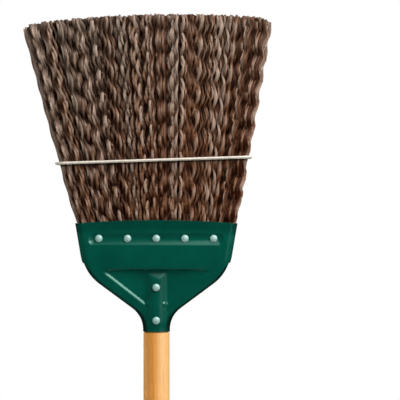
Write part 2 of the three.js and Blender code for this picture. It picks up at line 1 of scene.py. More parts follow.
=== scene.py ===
# %% [markdown]
# # A track broom, built piece by piece
# The broom has a fan of crimped fibre in a riveted steel cap, a wire band round the fibre, a wooden handle
# and a steel chisel on the handle's far end. Its construction model is loaded first and stays as it is.
# Each piece below is drawn in the same place as the solid that it stands for, so the drawing settles how
# the broom looks and the construction model settles how large it is. Sizes are in millimetres, and the
# frame is in metres.

# %% Load the construction model
import math

import bpy
import numpy as np
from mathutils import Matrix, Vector


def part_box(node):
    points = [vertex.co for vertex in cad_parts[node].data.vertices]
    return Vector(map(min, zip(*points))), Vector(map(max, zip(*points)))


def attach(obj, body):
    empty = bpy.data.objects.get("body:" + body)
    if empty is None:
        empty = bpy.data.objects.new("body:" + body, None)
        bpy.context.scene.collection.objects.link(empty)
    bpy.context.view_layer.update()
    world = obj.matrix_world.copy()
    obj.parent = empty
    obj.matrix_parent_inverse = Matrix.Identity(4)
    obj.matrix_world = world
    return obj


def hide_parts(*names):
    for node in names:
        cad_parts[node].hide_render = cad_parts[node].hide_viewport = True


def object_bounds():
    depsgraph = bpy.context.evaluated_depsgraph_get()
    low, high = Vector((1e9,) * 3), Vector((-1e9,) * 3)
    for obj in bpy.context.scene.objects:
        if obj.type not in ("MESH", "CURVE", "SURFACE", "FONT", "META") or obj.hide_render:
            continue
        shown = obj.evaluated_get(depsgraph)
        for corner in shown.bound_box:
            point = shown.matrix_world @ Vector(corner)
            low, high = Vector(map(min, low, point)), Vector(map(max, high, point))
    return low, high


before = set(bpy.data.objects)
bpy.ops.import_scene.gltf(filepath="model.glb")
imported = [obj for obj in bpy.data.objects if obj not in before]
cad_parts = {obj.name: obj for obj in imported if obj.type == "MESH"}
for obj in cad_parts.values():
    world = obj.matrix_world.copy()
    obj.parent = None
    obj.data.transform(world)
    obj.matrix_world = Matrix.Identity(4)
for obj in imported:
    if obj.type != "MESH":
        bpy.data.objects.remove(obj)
cad_low, cad_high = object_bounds()
MM = 0.001


def box_mm(node):
    """Lowest and highest corner of a construction solid, in millimetres."""
    low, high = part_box(node)
    return np.array(low) / MM, np.array(high) / MM


def centre_mm(node):
    """Middle of a construction solid's box, in millimetres."""
    return sum(box_mm(node)) / 2


def metres(lengths):
    """Lengths in millimetres as metres."""
    return [length * MM for length in lengths]


print("solids in the frame:", len(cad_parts))

# %% [markdown]
# ## Two small tools
# Colours are written as the hex values that a paint chart or a screen shows, which are in sRGB. Shaders
# count in linear light, so one function turns the first into the second. A material is a tree of nodes, and
# one function adds a node with its settings and plugs things into it.

# %% Colours and nodes
# Sockets of a Mix node that mixes colours: its share, the colour under, the colour over it, and the result.
SHARE, UNDER, OVER, MIXED = 0, 6, 7, 2
EASED = {"interpolation_type": "SMOOTHSTEP"}


def linear(hex_colour):
    """An sRGB hex colour as linear red, green, blue and alpha, by the formula of the sRGB standard."""
    values = [int(hex_colour[i:i + 2], 16) / 255 for i in (1, 3, 5)]
    return [v / 12.92 if v <= 0.04045 else ((v + 0.055) / 1.055) ** 2.4 for v in values] + [1.0]


def plug(tree, node, inputs):
    """Fills inputs, given by name, by number or as a row. A plugged-in node gives its first output."""
    for socket, value in inputs.items() if isinstance(inputs, dict) else enumerate(inputs):
        if isinstance(value, bpy.types.Node):
            value = value.outputs[0]
        if isinstance(value, bpy.types.NodeSocket):
            tree.links.new(value, node.inputs[socket])
        else:
            node.inputs[socket].default_value = value


def add(tree, kind, inputs=(), **settings):
    """Adds one shader node with its settings and plugs its inputs."""
    node = tree.nodes.new("ShaderNode" + kind)
    for name, value in settings.items():
        setattr(node, name, value)
    plug(tree, node, inputs)
    return node


def new_material(name):
    """An empty material, with its tree and its surface shader."""
    material = bpy.data.materials.new(name)
    material.use_nodes = True
    return material, material.node_tree, material.node_tree.nodes["Principled BSDF"]


print("white is", linear("#ffffff"))

# %% [markdown]
# ## Camera
# The broom's head is looked at straight from the front, from far away, so that its outline shows hardly any
# perspective. A long lens does that. The picture is 400 pixels wide, and a pixel covers 1.1 mm at the
# handle's axis. The cap's mouth and the handle's axis fall on known pixels, which puts the camera in its
# place.

# %% Place the camera
PICTURE_SIZE = 400
MM_PER_PIXEL = 1.1
HANDLE_COLUMN = 156.5
MOUTH_ROW = 331.3
LENS = 190
SENSOR = 36

cap_low, cap_high = box_mm("cap_front")
MOUTH_Z = cap_low[2]
view_x = (PICTURE_SIZE / 2 - HANDLE_COLUMN) * MM_PER_PIXEL
view_z = MOUTH_Z + (MOUTH_ROW - PICTURE_SIZE / 2) * MM_PER_PIXEL
view_distance = PICTURE_SIZE * MM_PER_PIXEL * LENS / SENSOR

camera = bpy.data.objects.new("camera", bpy.data.cameras.new("camera"))
camera.data.lens = LENS
camera.data.sensor_width = SENSOR
camera.location = Vector((view_x, -view_distance, view_z)) * MM
camera.rotation_euler = (math.pi / 2, 0, 0)
bpy.context.scene.collection.objects.link(camera)
bpy.context.scene.camera = camera
bpy.context.scene.view_settings.view_transform = "Standard"
print("camera stands", round(view_distance), "mm in front of the handle")

# %% [markdown]
# ## Studio
# A pack shot has a white backdrop, a pale floor and a few softboxes, with most of the room left dark. The
# dark room keeps gloss paint deep in colour, because a face turned to the camera mirrors it. So the world
# gives three answers. Looked at, it is white. Mirrored, it is dark, with white up behind the broom on the
# right and a dim wall at the right side. As light on the broom it is an even, modest grey.

# %% World
AMBIENT = 0.2
DARK_WALL = 0.03
WHITE_WALL = 1.0
WHITE_WALL_TOWARDS = Vector((0.42, 0.58, 0.7)).normalized()
WHITE_WALL_FROM = (0.72, 0.98)
SIDE_WALL = 0.32
SIDE_WALL_FROM = (0.78, 0.97)
WHITE = linear("#ffffff")

world = bpy.data.worlds.new("studio")
world.use_nodes = True
room = world.node_tree
room.nodes.clear()
path = add(room, "LightPath").outputs
looking = add(room, "TexCoord").outputs["Generated"]
towards = add(room, "VectorMath", (looking, WHITE_WALL_TOWARDS), operation="DOT_PRODUCT").outputs["Value"]
white_wall = add(room, "MapRange", (towards, *WHITE_WALL_FROM, DARK_WALL, WHITE_WALL), **EASED)
rightwards = add(room, "SeparateXYZ", (looking,)).outputs["X"]
side_wall = add(room, "MapRange", (rightwards, *SIDE_WALL_FROM, 0.0, SIDE_WALL), **EASED)
walls = add(room, "Math", (white_wall, side_wall), operation="MAXIMUM")
ambient = add(room, "Background", (WHITE, AMBIENT))
mirrored = add(room, "Background", (WHITE, walls))
backdrop = add(room, "Background", (WHITE, WHITE_WALL))
seen = add(room, "Math", (path["Is Camera Ray"], path["Is Transmission Ray"]), operation="MAXIMUM")
unseen = add(room, "MixShader", (path["Is Glossy Ray"], ambient, mirrored))
answer = add(room, "MixShader", (seen, unseen, backdrop))
add(room, "OutputWorld", {"Surface": answer})
bpy.context.scene.world = world
print("the room lights the broom with", AMBIENT, "of white from all sides")

# %% [markdown]
# The brightness comes from softboxes, set so that together they light a face turned to the camera at about
# its written colour. The key light stands up on the right. A top light, a strip and an edge light help it,
# a fill softens the left side and a rim lamp brightens the fan's left edge. Some lamps are hidden from the
# shine of surfaces. Cards are the reverse: they show in the shine and light nothing else. One of them draws
# the pale line along the cap's trough, and three give the chisel's steel something to mirror.

# %% Softboxes
HEAD_CENTRE = Vector((0, 0, MOUTH_Z + 120)) * MM
CHISEL_CENTRE = Vector((0, 0, box_mm("chisel_blade")[0][2] + 90)) * MM


def softbox(name, azimuth, elevation, distance, width, height, radiance,
            centre=HEAD_CENTRE, spread=180, mirrored=True, lights=True):
    """A soft rectangular lamp that faces a part of the broom. Azimuth turns right from the camera."""
    turn, rise = math.radians(azimuth), math.radians(elevation)
    out = Vector((math.sin(turn) * math.cos(rise), -math.cos(turn) * math.cos(rise), math.sin(rise)))
    lamp = bpy.data.lights.new(name, "AREA")
    lamp.shape = "RECTANGLE"
    lamp.size = width
    lamp.size_y = height
    lamp.energy = radiance * math.pi * width * height
    lamp.spread = math.radians(spread)
    holder = bpy.data.objects.new(name, lamp)
    holder.location = centre + out * distance
    holder.rotation_euler = out.to_track_quat("Z", "Y").to_euler()
    holder.visible_camera = False
    holder.visible_glossy = mirrored
    holder.visible_diffuse = lights
    bpy.context.scene.collection.objects.link(holder)
    print(name, "gives a facing surface", round(radiance * width * height / distance**2 / math.pi, 2))


softbox("key_light", azimuth=50, elevation=40, distance=2.5, width=1.4, height=1.5, radiance=10.3)
softbox("top_light", azimuth=20, elevation=68, distance=1.9, width=1.3, height=0.8, radiance=2.5)
softbox("strip_light", azimuth=42, elevation=3, distance=2.2, width=1.1, height=1.6, radiance=0.7)
softbox("edge_light", azimuth=143, elevation=41, distance=2.0, width=0.7, height=0.7, radiance=8.0)
softbox("fill_light", azimuth=-62, elevation=8, distance=3.0, width=1.2, height=1.8, radiance=2.4,
        mirrored=False)
softbox("left_rim", azimuth=-118, elevation=22, distance=2.0, width=0.8, height=1.2, radiance=6.5,
        mirrored=False)
softbox("low_light", azimuth=35, elevation=35, distance=1.7, width=0.8, height=0.7, radiance=0.6,
        centre=CHISEL_CENTRE, spread=55, mirrored=False)
softbox("front_card", azimuth=23, elevation=38, distance=1.0, width=0.6, height=0.6, radiance=3.0,
        lights=False)
chisel_card = dict(elevation=12, distance=0.8, height=0.6, centre=CHISEL_CENTRE, spread=100, lights=False)
softbox("right_card", azimuth=32, width=1.3, radiance=0.8, **chisel_card)
softbox("left_card", azimuth=-70, width=0.8, radiance=0.6, **chisel_card)
softbox("back_card", azimuth=180, width=2.2, radiance=0.5, **chisel_card)

# %% [markdown]
# ## Floor
# The broom stands on its chisel on a plain pale floor. Near the broom the floor is an ordinary matt
# surface, which takes its shadow. Further out it fades to the backdrop's white, so that no edge shows. A
# glossy piece mirrors the near floor as it is, and the far floor as dark as the room.

# %% Floor
FLOOR_RADIUS = 9.0
FLOOR_SIDES = 96
FADE_FROM = (0.25, 1.8)
DARK_FROM = (0.15, 0.4)

paint, tree, matt = new_material("pale_matt_floor")
plug(tree, matt, {"Base Color": linear("#e8e7e4"), "Roughness": 0.9})
place = add(tree, "TexCoord").outputs["Object"]
away = add(tree, "VectorMath", (place,), operation="LENGTH").outputs["Value"]
fade = add(tree, "MapRange", (away, *FADE_FROM), **EASED)
far = add(tree, "MapRange", (away, *DARK_FROM), **EASED)
path = add(tree, "LightPath").outputs
straight = add(tree, "Math", (path["Is Camera Ray"], path["Is Transmission Ray"]), operation="MAXIMUM")
faded = add(tree, "Math", (straight, fade), operation="MULTIPLY")
mirrored = add(tree, "Math", (path["Is Glossy Ray"], far), operation="MULTIPLY")
share = add(tree, "Math", (faded, mirrored), operation="MAXIMUM")
level = add(tree, "Math", (straight, DARK_WALL), operation="MAXIMUM")
white = add(tree, "Emission", (WHITE, level))
surface = add(tree, "MixShader", (share, matt, white))
plug(tree, tree.nodes["Material Output"], {"Surface": surface})

turns = np.linspace(0, math.tau, FLOOR_SIDES, endpoint=False)
rim = np.stack([np.cos(turns), np.sin(turns), np.zeros(FLOOR_SIDES)], 1) * FLOOR_RADIUS
floor_mesh = bpy.data.meshes.new("floor")
floor_mesh.from_pydata(rim.tolist(), [], [list(range(FLOOR_SIDES))])
floor_mesh.materials.append(paint)
floor = bpy.data.objects.new("floor", floor_mesh)
floor.location.z = cad_low.z
bpy.context.scene.collection.objects.link(floor)
print("floor lies at", round(floor.location.z / MM, 1), "mm")

# %% [markdown]
# ## Grids, lathes and handing over
# Most pieces are a grid of points, row over row. A turned piece is a grid whose columns run round an axis.
# The points are worked out in millimetres, and shrink to metres only when the mesh is made. A finished
# piece is handed over: it rides on the broom, and the solids that it stands for are hidden.

# %% Grids and lathes
SHARP_EDGE = 35


def grid_faces(rows, columns, closed=False):
    """Four-sided faces of a grid, numbered row by row. A closed grid joins its last column to its first."""
    spans = columns if closed else columns - 1
    row, column = np.meshgrid(np.arange(rows - 1), np.arange(spans), indexing="ij")
    start = row * columns + column
    beside = row * columns + (column + 1) % columns
    return np.stack([start, beside, beside + columns, start + columns], -1).reshape(-1, 4).tolist()


def tube_faces(rows, columns):
    """Faces of a closed tube with a flat lid on both ends."""
    first = list(range(columns))[::-1]
    last = list(range((rows - 1) * columns, rows * columns))
    return grid_faces(rows, columns, closed=True) + [first, last]


def turned(profile, sides):
    """Points of a piece turned on the Z axis, from pairs of radius and height, lowest first."""
    angle = np.linspace(0, math.tau, sides, endpoint=False)
    radius, height = np.array(profile, float).T[..., None]
    across = radius * np.cos(angle)
    return np.stack([across, radius * np.sin(angle), np.broadcast_to(height, across.shape)], -1)


def make_piece(name, points, faces, material, sharp=SHARP_EDGE):
    """A mesh object from points in millimetres, smooth except at edges sharper than this many degrees."""
    mesh = bpy.data.meshes.new(name)
    mesh.from_pydata((np.reshape(points, (-1, 3)) * MM).tolist(), [], faces)
    mesh.materials.append(material)
    mesh.shade_smooth()
    mesh.set_sharp_from_angle(angle=math.radians(sharp))
    piece = bpy.data.objects.new(name, mesh)
    bpy.context.scene.collection.objects.link(piece)
    return piece


def lathe(name, profile, sides, material):
    """A piece turned on the Z axis, with its ends closed."""
    return make_piece(name, turned(profile, sides), tube_faces(len(profile), sides), material)


def hand_over(piece, slot, *nodes):
    """The finished piece rides on the broom and stands for these solids."""
    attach(piece, "root")
    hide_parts(*nodes)
    print(piece.name, "has", len(piece.data.polygons), "faces")


print("edges sharper than", SHARP_EDGE, "degrees stay sharp")


# %% Lines and curves
def smoothstep(value, low, high):
    """0 below low, 1 above high, and a smooth rise between them."""
    share = np.clip((value - low) / (high - low), 0, 1)
    return share * share * (3 - 2 * share)


def along_line(points):
    """How far along a line each of its points lies."""
    return np.concatenate([[0], np.cumsum(np.linalg.norm(np.diff(points, axis=0), axis=1))])


def rounded_corners(half_width, half_depth, bend, steps):
    """The four rounded corners of a rectangle, each a row of points, from the one at the right and back."""
    corners = []
    for turn, (sx, sy) in enumerate(((1, 1), (-1, 1), (-1, -1), (1, -1))):
        angle = np.linspace(0, math.pi / 2, steps) + turn * math.pi / 2
        x = sx * (half_width - bend) + bend * np.cos(angle)
        y = sy * (half_depth - bend) + bend * np.sin(angle)
        corners.append(np.stack([x, y], -1))
    return np.array(corners)


def four_corners(left, right, half_depth, height):
    """The corners of a level rectangle, as one ring of a tube."""
    return [(left, -half_depth, height), (right, -half_depth, height),
            (right, half_depth, height), (left, half_depth, height)]


print("halfway up, a smooth rise is at", smoothstep(0.5, 0, 1))

# %% [markdown]
# ## Handle: lacquered ash
# The handle is one straight pole of ash, turned round, sanded and dipped in clear lacquer. Ash shows long
# growth lines and short dark pores along the pole. Growth rings are cylinders in the tree, so the pattern
# is rings round a tree's heart that lies beside the pole and leans a little, which the round surface then
# cuts into long streaks. Painted light makes the pole paler right of a band that wanders along it left of
# its middle, where the key light falls, and a little paler left of that band. The lacquer is a clear coat
# with a soft shine.

# %% Ash with clear lacquer
RING_WIDTH = 4.2
RINGS_PER_UNIT = math.tau / 20
HEART_ASIDE = (46.0, 30.0, 0)
HEART_LEAN = math.radians(1.1)
STREAK_WIDTH, STREAK_LENGTH = 5.0, 160.0
STREAKS_FROM, STREAKS_SHOW = (0.42, 0.68), 0.4
# The pores of real ash are a fraction of a millimetre wide, and are drawn coarser here so that they show.
PORE_WIDTH, PORE_LENGTH = 0.7, 14.0
PORES_FROM, PORES_SHOW = (0.56, 0.72), 0.4
# Painted light: the pole is painted paler right of a band that wanders left of its middle, on the side where
# the key light falls, and a little paler left of it.
MIDDLE_BAND_AT, MIDDLE_BAND_WANDER = -4.0, 2.5
RIGHT_PAINTED_LIGHT_FROM, RIGHT_PAINTED_LIGHT_SHOWS = (0.0, 10.0), 0.8
LEFT_PAINTED_LIGHT_FROM, LEFT_PAINTED_LIGHT_SHOWS = (-3.0, -9.0), 0.3
EARLY_WOOD, LATE_WOOD = "#df9232", "#efa144"
PAINTED_SIDE_LIGHT, STREAK, PORE = "#fcc885", "#d68426", "#a8621f"


def per_metre(width, length):
    """Scale of a pattern this wide, and this long along the broom."""
    return 1 / (width * MM), 1 / (width * MM), 1 / (length * MM)


ash, tree, lacquered = new_material("ash_turned_lacquered")
place = add(tree, "TexCoord").outputs["Object"]
heart = add(tree, "Mapping", {
    "Vector": place, "Location": metres(HEART_ASIDE), "Rotation": (HEART_LEAN, HEART_LEAN, 0),
})
rings = add(tree, "TexWave", {
    "Vector": heart, "Scale": RINGS_PER_UNIT / (RING_WIDTH * MM), "Distortion": 2.2, "Detail": 2.0,
    "Detail Scale": 0.6,
}, wave_type="RINGS", rings_direction="Z").outputs["Fac"]
streak_place = add(tree, "Mapping", {"Vector": place, "Scale": per_metre(STREAK_WIDTH, STREAK_LENGTH)})
streaks = add(tree, "TexNoise", {"Vector": streak_place, "Scale": 1.0, "Detail": 3.0}).outputs["Fac"]
pore_place = add(tree, "Mapping", {"Vector": place, "Scale": per_metre(PORE_WIDTH, PORE_LENGTH)})
pores = add(tree, "TexNoise", {"Vector": pore_place, "Scale": 1.0, "Detail": 2.0}).outputs["Fac"]
wander = metres((-MIDDLE_BAND_AT - MIDDLE_BAND_WANDER, -MIDDLE_BAND_AT + MIDDLE_BAND_WANDER))
wandering = add(tree, "MapRange", {"Value": streaks, "To Min": wander[0], "To Max": wander[1]})
rightwards = add(tree, "SeparateXYZ", (place,)).outputs["X"]
beside = add(tree, "Math", (rightwards, wandering), operation="ADD")
# Painted light on both sides of the wandering middle band, strong on the right and weak on the left.
right = add(tree, "MapRange", (beside, *metres(RIGHT_PAINTED_LIGHT_FROM), 0.0, RIGHT_PAINTED_LIGHT_SHOWS), **EASED)
left = add(tree, "MapRange", (beside, *metres(LEFT_PAINTED_LIGHT_FROM), 0.0, LEFT_PAINTED_LIGHT_SHOWS), **EASED)
painted_side_light = add(tree, "Math", (right, left), operation="MAXIMUM")
warm_streaks = add(tree, "MapRange", (streaks, *STREAKS_FROM, 0.0, STREAKS_SHOW))
pore_marks = add(tree, "MapRange", (pores, *PORES_FROM, 0.0, PORES_SHOW))
wood = linear(EARLY_WOOD)
for share, over in ((rings, LATE_WOOD), (painted_side_light, PAINTED_SIDE_LIGHT), (warm_streaks, STREAK), (pore_marks, PORE)):
    layer = add(tree, "Mix", {SHARE: share, UNDER: wood, OVER: linear(over)}, data_type="RGBA")
    wood = layer.outputs[MIXED]
relief = add(tree, "Bump", {"Height": pores, "Strength": 0.25, "Distance": 0.08 * MM})
plug(tree, lacquered, {
    "Base Color": wood, "Normal": relief, "Roughness": 0.45, "Coat Weight": 1.0, "Coat Roughness": 0.3,
})
print("growth rings are", RING_WIDTH, "mm apart")

# %% [markdown]
# ## Handle: the turned pole
# The pole's bare length lies between the cap's mouth and the chisel's socket. A thinner tenon with a
# rounded nose stands in the cap and a cone fills the socket. All of it is one profile turned on the axis.
# The shoulders have small chamfers, and the long side has rings of points along it so that its shading
# stays even.

# %% Turn the handle
HANDLE_SIDES = 72
HANDLE_RADIUS = 14.3
HANDLE_CHAMFER = 1.2
SHOULDER_GAP = 0.3
SHOULDER_RADIUS = HANDLE_RADIUS - HANDLE_CHAMFER
SIDE_RINGS = 40
CONE_RADIUS = 12.7
CONE_TIP_RADIUS = 8.8
TENON_RADIUS = 13.0
TENON_NOSE_INSET = 10.0
TENON_NOSE_LENGTH = 17.0
TENON_NOSE_STEPS = 8

handle_low, handle_high = box_mm("handle")
RIM_Z = box_mm("chisel_socket")[1][2]
side_foot = RIM_Z + SHOULDER_GAP
side_head = MOUTH_Z - SHOULDER_GAP
side_heights = np.linspace(side_foot + HANDLE_CHAMFER, side_head - HANDLE_CHAMFER, SIDE_RINGS)
nose_angle = np.linspace(0, math.pi / 2, TENON_NOSE_STEPS)
nose_radius = TENON_RADIUS - TENON_NOSE_INSET * (1 - np.cos(nose_angle))
nose_height = handle_high[2] - TENON_NOSE_LENGTH * (1 - np.sin(nose_angle))
handle_profile = [
    (CONE_TIP_RADIUS - HANDLE_CHAMFER, handle_low[2]),
    (CONE_TIP_RADIUS, handle_low[2] + HANDLE_CHAMFER),
    (CONE_RADIUS, side_foot),
    (SHOULDER_RADIUS, side_foot),
    *[(HANDLE_RADIUS, height) for height in side_heights],
    (SHOULDER_RADIUS, side_head),
    (TENON_RADIUS, side_head),
    *zip(nose_radius, nose_height),
]
hand_over(lathe("pole", handle_profile, HANDLE_SIDES, ash), "handle_wood", "handle")

# %% [markdown]
# ## Cap: stove enamel
# The cap is two pressed halves of thin steel, dipped and stoved in a dark green gloss enamel. The paint is
# deep, its gloss is high but not a mirror, and it has the faint orange peel of dipped paint. Painted shade
# darkens it round the sides of the neck and the shoulders, where it turns nearly black, and a little along
# the rim. The laps get almost none of it.

# %% Green stove enamel
PEEL_WIDTH = 3.0
CLOUD_WIDTH = 26.0
EDGE_SHADE_FROM, EDGE_SHADE_SHOWS = (0.05, 0.25), 0.93

enamel, tree, gloss = new_material("steel_pressed_green_enamel")
place = add(tree, "TexCoord").outputs["Object"]
peel = add(tree, "TexNoise", {"Vector": place, "Scale": 1 / (PEEL_WIDTH * MM), "Detail": 1.5})
clouds = add(tree, "TexNoise", {"Vector": place, "Scale": 1 / (CLOUD_WIDTH * MM), "Detail": 3.0})
green = add(tree, "Mix", {
    SHARE: clouds.outputs["Fac"], UNDER: linear("#003d33"), OVER: linear("#005545"),
}, data_type="RGBA").outputs[MIXED]
# Painted shade: the sideness mixes the green towards near black round the sides of the neck and shoulders
# and along the rim.
side = add(tree, "Attribute", attribute_name="sideness").outputs["Fac"]
thick = add(tree, "MapRange", (side, *EDGE_SHADE_FROM, 0.0, EDGE_SHADE_SHOWS))
painted_edge_shade = add(tree, "Mix", {SHARE: thick, UNDER: green, OVER: linear("#00150f")}, data_type="RGBA")
relief = add(tree, "Bump", {"Height": peel.outputs["Fac"], "Strength": 0.18, "Distance": 0.15 * MM})
plug(tree, gloss, {
    "Base Color": painted_edge_shade.outputs[MIXED], "Normal": relief, "Roughness": 0.2, "IOR": 1.5,
    "Specular Tint": linear("#bdf0de"),
})
print("orange peel is", PEEL_WIDTH, "mm wide")

# %% [markdown]
# ## Cap: the pressed shape
# Seen from above, the cap starts as a round neck on the handle and spreads to a flat pocket with rounded
# edges. Its outline has a straight neck, a slanted shoulder and a slightly flared side, joined by soft
# bends. Its face stands upright at the rivets and leans back from there to the neck, and a strip under the
# rim is sunk a little. Each height gives one section, cut into even steps from seam to seam, so the grid
# stays regular from the narrow neck to the wide rim. Beside its place, each point keeps its sideness, which
# says how much painted shade darkens the paint there.

# %% Outline of the cap
SHEET = 1.2
NECK_RADIUS = 14.8
RIM_HALF_WIDTH = 87.5
CAP_HEIGHT = cap_high[2] - cap_low[2]
CAP_OUTLINE = [(NECK_RADIUS, 0), (NECK_RADIUS, 17), (78.2, 64.2), (RIM_HALF_WIDTH, 118.8)]
OUTLINE_BENDS = [15.5, 20]
BEND_STEPS = 12


def bent_line(corners, bends):
    """Points along a line through these corners, each eased by a bend that starts this far before it."""
    corners = np.array(corners, float)
    points = [corners[0]]
    share = np.linspace(0, 1, BEND_STEPS)[:, None]
    for before, corner, after, bend in zip(corners, corners[1:], corners[2:], bends):
        start = corner + (before - corner) * bend / np.linalg.norm(before - corner)
        end = corner + (after - corner) * bend / np.linalg.norm(after - corner)
        points.extend((1 - share) ** 2 * start + 2 * share * (1 - share) * corner + share**2 * end)
    points.append(corners[-1])
    return np.array(points)


outline = bent_line(CAP_OUTLINE, OUTLINE_BENDS)
print("the cap is", round(CAP_HEIGHT, 1), "mm high")

# %% Sections of the cap
CAP_COLUMNS = 265
CAP_ROWS = 163
CAP_HALF_DEPTH = 17.5
EDGE_RADIUS = 7
EDGE_STEPS = 24
POCKET_FROM = (1.5, 32.1)
SEAM_GAP = 0.15
RIM_RISE = 3.6
RIM_BENDS_FROM = 88
FACE_LEAN = math.tan(math.radians(6.5))
LEAN_FROM = 86.0
LEAN_FULL = 66.0
STRIP_FROM = (96.0, 108.0)
STRIP_SINK = 0.8
RIM_SHADE = 0.11
RIM_SHADE_FROM = (104.0, 116.0)
LAP_UNSHADED = 0.92
LAP_UNSHADED_FROM = (62.0, 80.0)


def face_depth(height):
    """How far the flat face stands out from the seam. Below the trough it leans back towards the neck."""
    bend = LEAN_FROM - LEAN_FULL
    below = max(LEAN_FROM - height, 0)
    bent = min(below, bend)
    strip_left = (CAP_HEIGHT - max(height, STRIP_FROM[1])) / (CAP_HEIGHT - STRIP_FROM[1])
    sunk = STRIP_SINK * smoothstep(height, *STRIP_FROM) * strip_left
    return CAP_HALF_DEPTH - FACE_LEAN * (bent**2 / (2 * bend) + below - bent) - sunk


def cap_section(height):
    """Half a section of the cap's outside, from its right seam to its left one, and its sideness."""
    drop = RIM_RISE * smoothstep(height, RIM_BENDS_FROM, CAP_HEIGHT)
    half_width = np.interp(height - drop, outline[:, 1], outline[:, 0])
    half_depth = face_depth(height)
    round_share = 1 - smoothstep(height, *POCKET_FROM)
    corner = EDGE_RADIUS + (half_depth - SEAM_GAP - EDGE_RADIUS) * round_share
    angle = np.linspace(0, math.pi / 2, EDGE_STEPS)
    across = np.concatenate([[half_width], half_width - corner + corner * np.cos(angle), [0]])
    out = np.concatenate([[SEAM_GAP], half_depth - corner + corner * np.sin(angle), [half_depth]])
    across = np.concatenate([across, -across[-2::-1]])
    out = np.concatenate([out, out[-2::-1]])
    along = along_line(np.stack([across, out], -1))
    steps = np.linspace(0, along[-1], CAP_COLUMNS)
    across = np.interp(steps, along, across)
    out = np.interp(steps, along, out)
    level = height - drop * (across / RIM_HALF_WIDTH) ** 2
    # Painted shade: sideness grows round the rounded sides and near the rim, and the laps get almost none.
    unshaded = 1 - LAP_UNSHADED * smoothstep(height, *LAP_UNSHADED_FROM)
    sideness = unshaded * (half_depth - out) / corner + RIM_SHADE * smoothstep(height, *RIM_SHADE_FROM)
    return np.stack([across, out, level, sideness], -1)


row_heights = np.linspace(0, CAP_HEIGHT, CAP_ROWS)
sections = np.stack([cap_section(height) for height in row_heights])
sideness = sections[..., 3]
print("the cap's grid is", CAP_ROWS, "by", CAP_COLUMNS, "points")

# %% [markdown]
# The press then shapes each face. A triangle with rounded corners is sunk on both sides of the handle's
# socket, which stays standing as a half-round ridge with a fillet, and the sheet puckers a little beside
# the ridge's foot. A long shallow trough takes the heads of the rivets. Each form is a depth worked out
# from how far a point lies inside the form's outline. Soft versions of the smaller and the larger of two
# values round the edges, as a press does.

# %% Forms of the press
RECESS_FLOOR = 10.7
FLOOR_RISE = 0.089
RECESS_FOOT = 19.0
RECESS_TOP = 69.5
RECESS_HALF_WIDTH = 64.2
SIDE_SLOPE = 0.65
TOP_SLOPE = 2.5
CORNER_ROUND = 13.0
TROUGH_HALF_LENGTH = 75.4
TROUGH_HALF_HEIGHT = 7.2
TROUGH_DEPTH = 2.5
TROUGH_ROUND = 0.5
TROUGH_HEIGHT = centre_mm("fill_rivet_3")[2] - MOUTH_Z
RIDGE_END = 52.0
RIDGE_END_LENGTH = 17.0
RIDGE_END_EDGE = 2.0
NECK_SWELL = 1.4
SWELL_FROM = (1.5, 13.0)
SWELL_TO = (18.0, 44.0)


def soft_least(a, b, blend):
    """The smaller of two values, with the corner between them rounded over this width."""
    overlap = np.maximum(blend - np.abs(a - b), 0) / blend
    return np.minimum(a, b) - overlap**2 * blend / 4


def soft_most(a, b, blend):
    """The larger of two values, with the corner between them rounded over this width."""
    return -soft_least(-a, -b, blend)


def recess_walls(across, height):
    """How deep the triangle's slanted walls have gone at a point of the face. Outside it this is below 0."""
    side = np.array([RECESS_HALF_WIDTH, RECESS_TOP - RECESS_FOOT])
    inward = np.array([-side[1], side[0]]) / np.linalg.norm(side)
    from_side = np.abs(across) * inward[0] + (height - RECESS_FOOT) * inward[1]
    return soft_least(from_side * SIDE_SLOPE, (RECESS_TOP - height) * TOP_SLOPE, CORNER_ROUND)


def recess_floor(across):
    """How far the triangle's floor stands out from the seam. It rises towards the sides."""
    return RECESS_FLOOR + FLOOR_RISE * np.maximum(np.abs(across) - NECK_RADIUS, 0)


def trough_depth(across, height):
    """How deep the trough for the rivets is sunk at a point of the face."""
    beyond = np.maximum(np.abs(across) - (TROUGH_HALF_LENGTH - TROUGH_HALF_HEIGHT), 0)
    inside = TROUGH_HALF_HEIGHT - np.hypot(beyond, height - TROUGH_HEIGHT)
    share = np.clip(inside / TROUGH_HALF_HEIGHT, -1, 1)
    return soft_most(TROUGH_DEPTH * np.sin(share * math.pi / 2), 0 * share, TROUGH_ROUND)


def ridge_reach(across, height):
    """How far the half-round socket for the handle stands out from the seam at a point of the face."""
    past = np.maximum(height - RIDGE_END, 0) / RIDGE_END_LENGTH
    swell = NECK_SWELL * smoothstep(height, *SWELL_FROM) * (1 - smoothstep(height, *SWELL_TO))
    barrel = (NECK_RADIUS + swell) * np.sqrt(np.maximum(1 - (across / NECK_RADIUS) ** 2, 0))
    rounded_off = NECK_RADIUS * np.sqrt(np.maximum(1 - past**2, 0))
    return np.where(past > 0, soft_least(barrel, rounded_off, RIDGE_END_EDGE), barrel)


print("the ridge stands", round(NECK_RADIUS - RECESS_FLOOR, 1), "mm above the triangle's floor")

# %% Press the face
LIP_ROUND = 0.9
FLOOR_ROUND = 0.5
RIDGE_ROUND = 2.6
SEAM_EASE = 6.0
PUCKER_HEIGHT = 1.5
PUCKER_ASIDE = 9.5
PUCKER_AT = 30.2
PUCKER_SIZE = 2.2


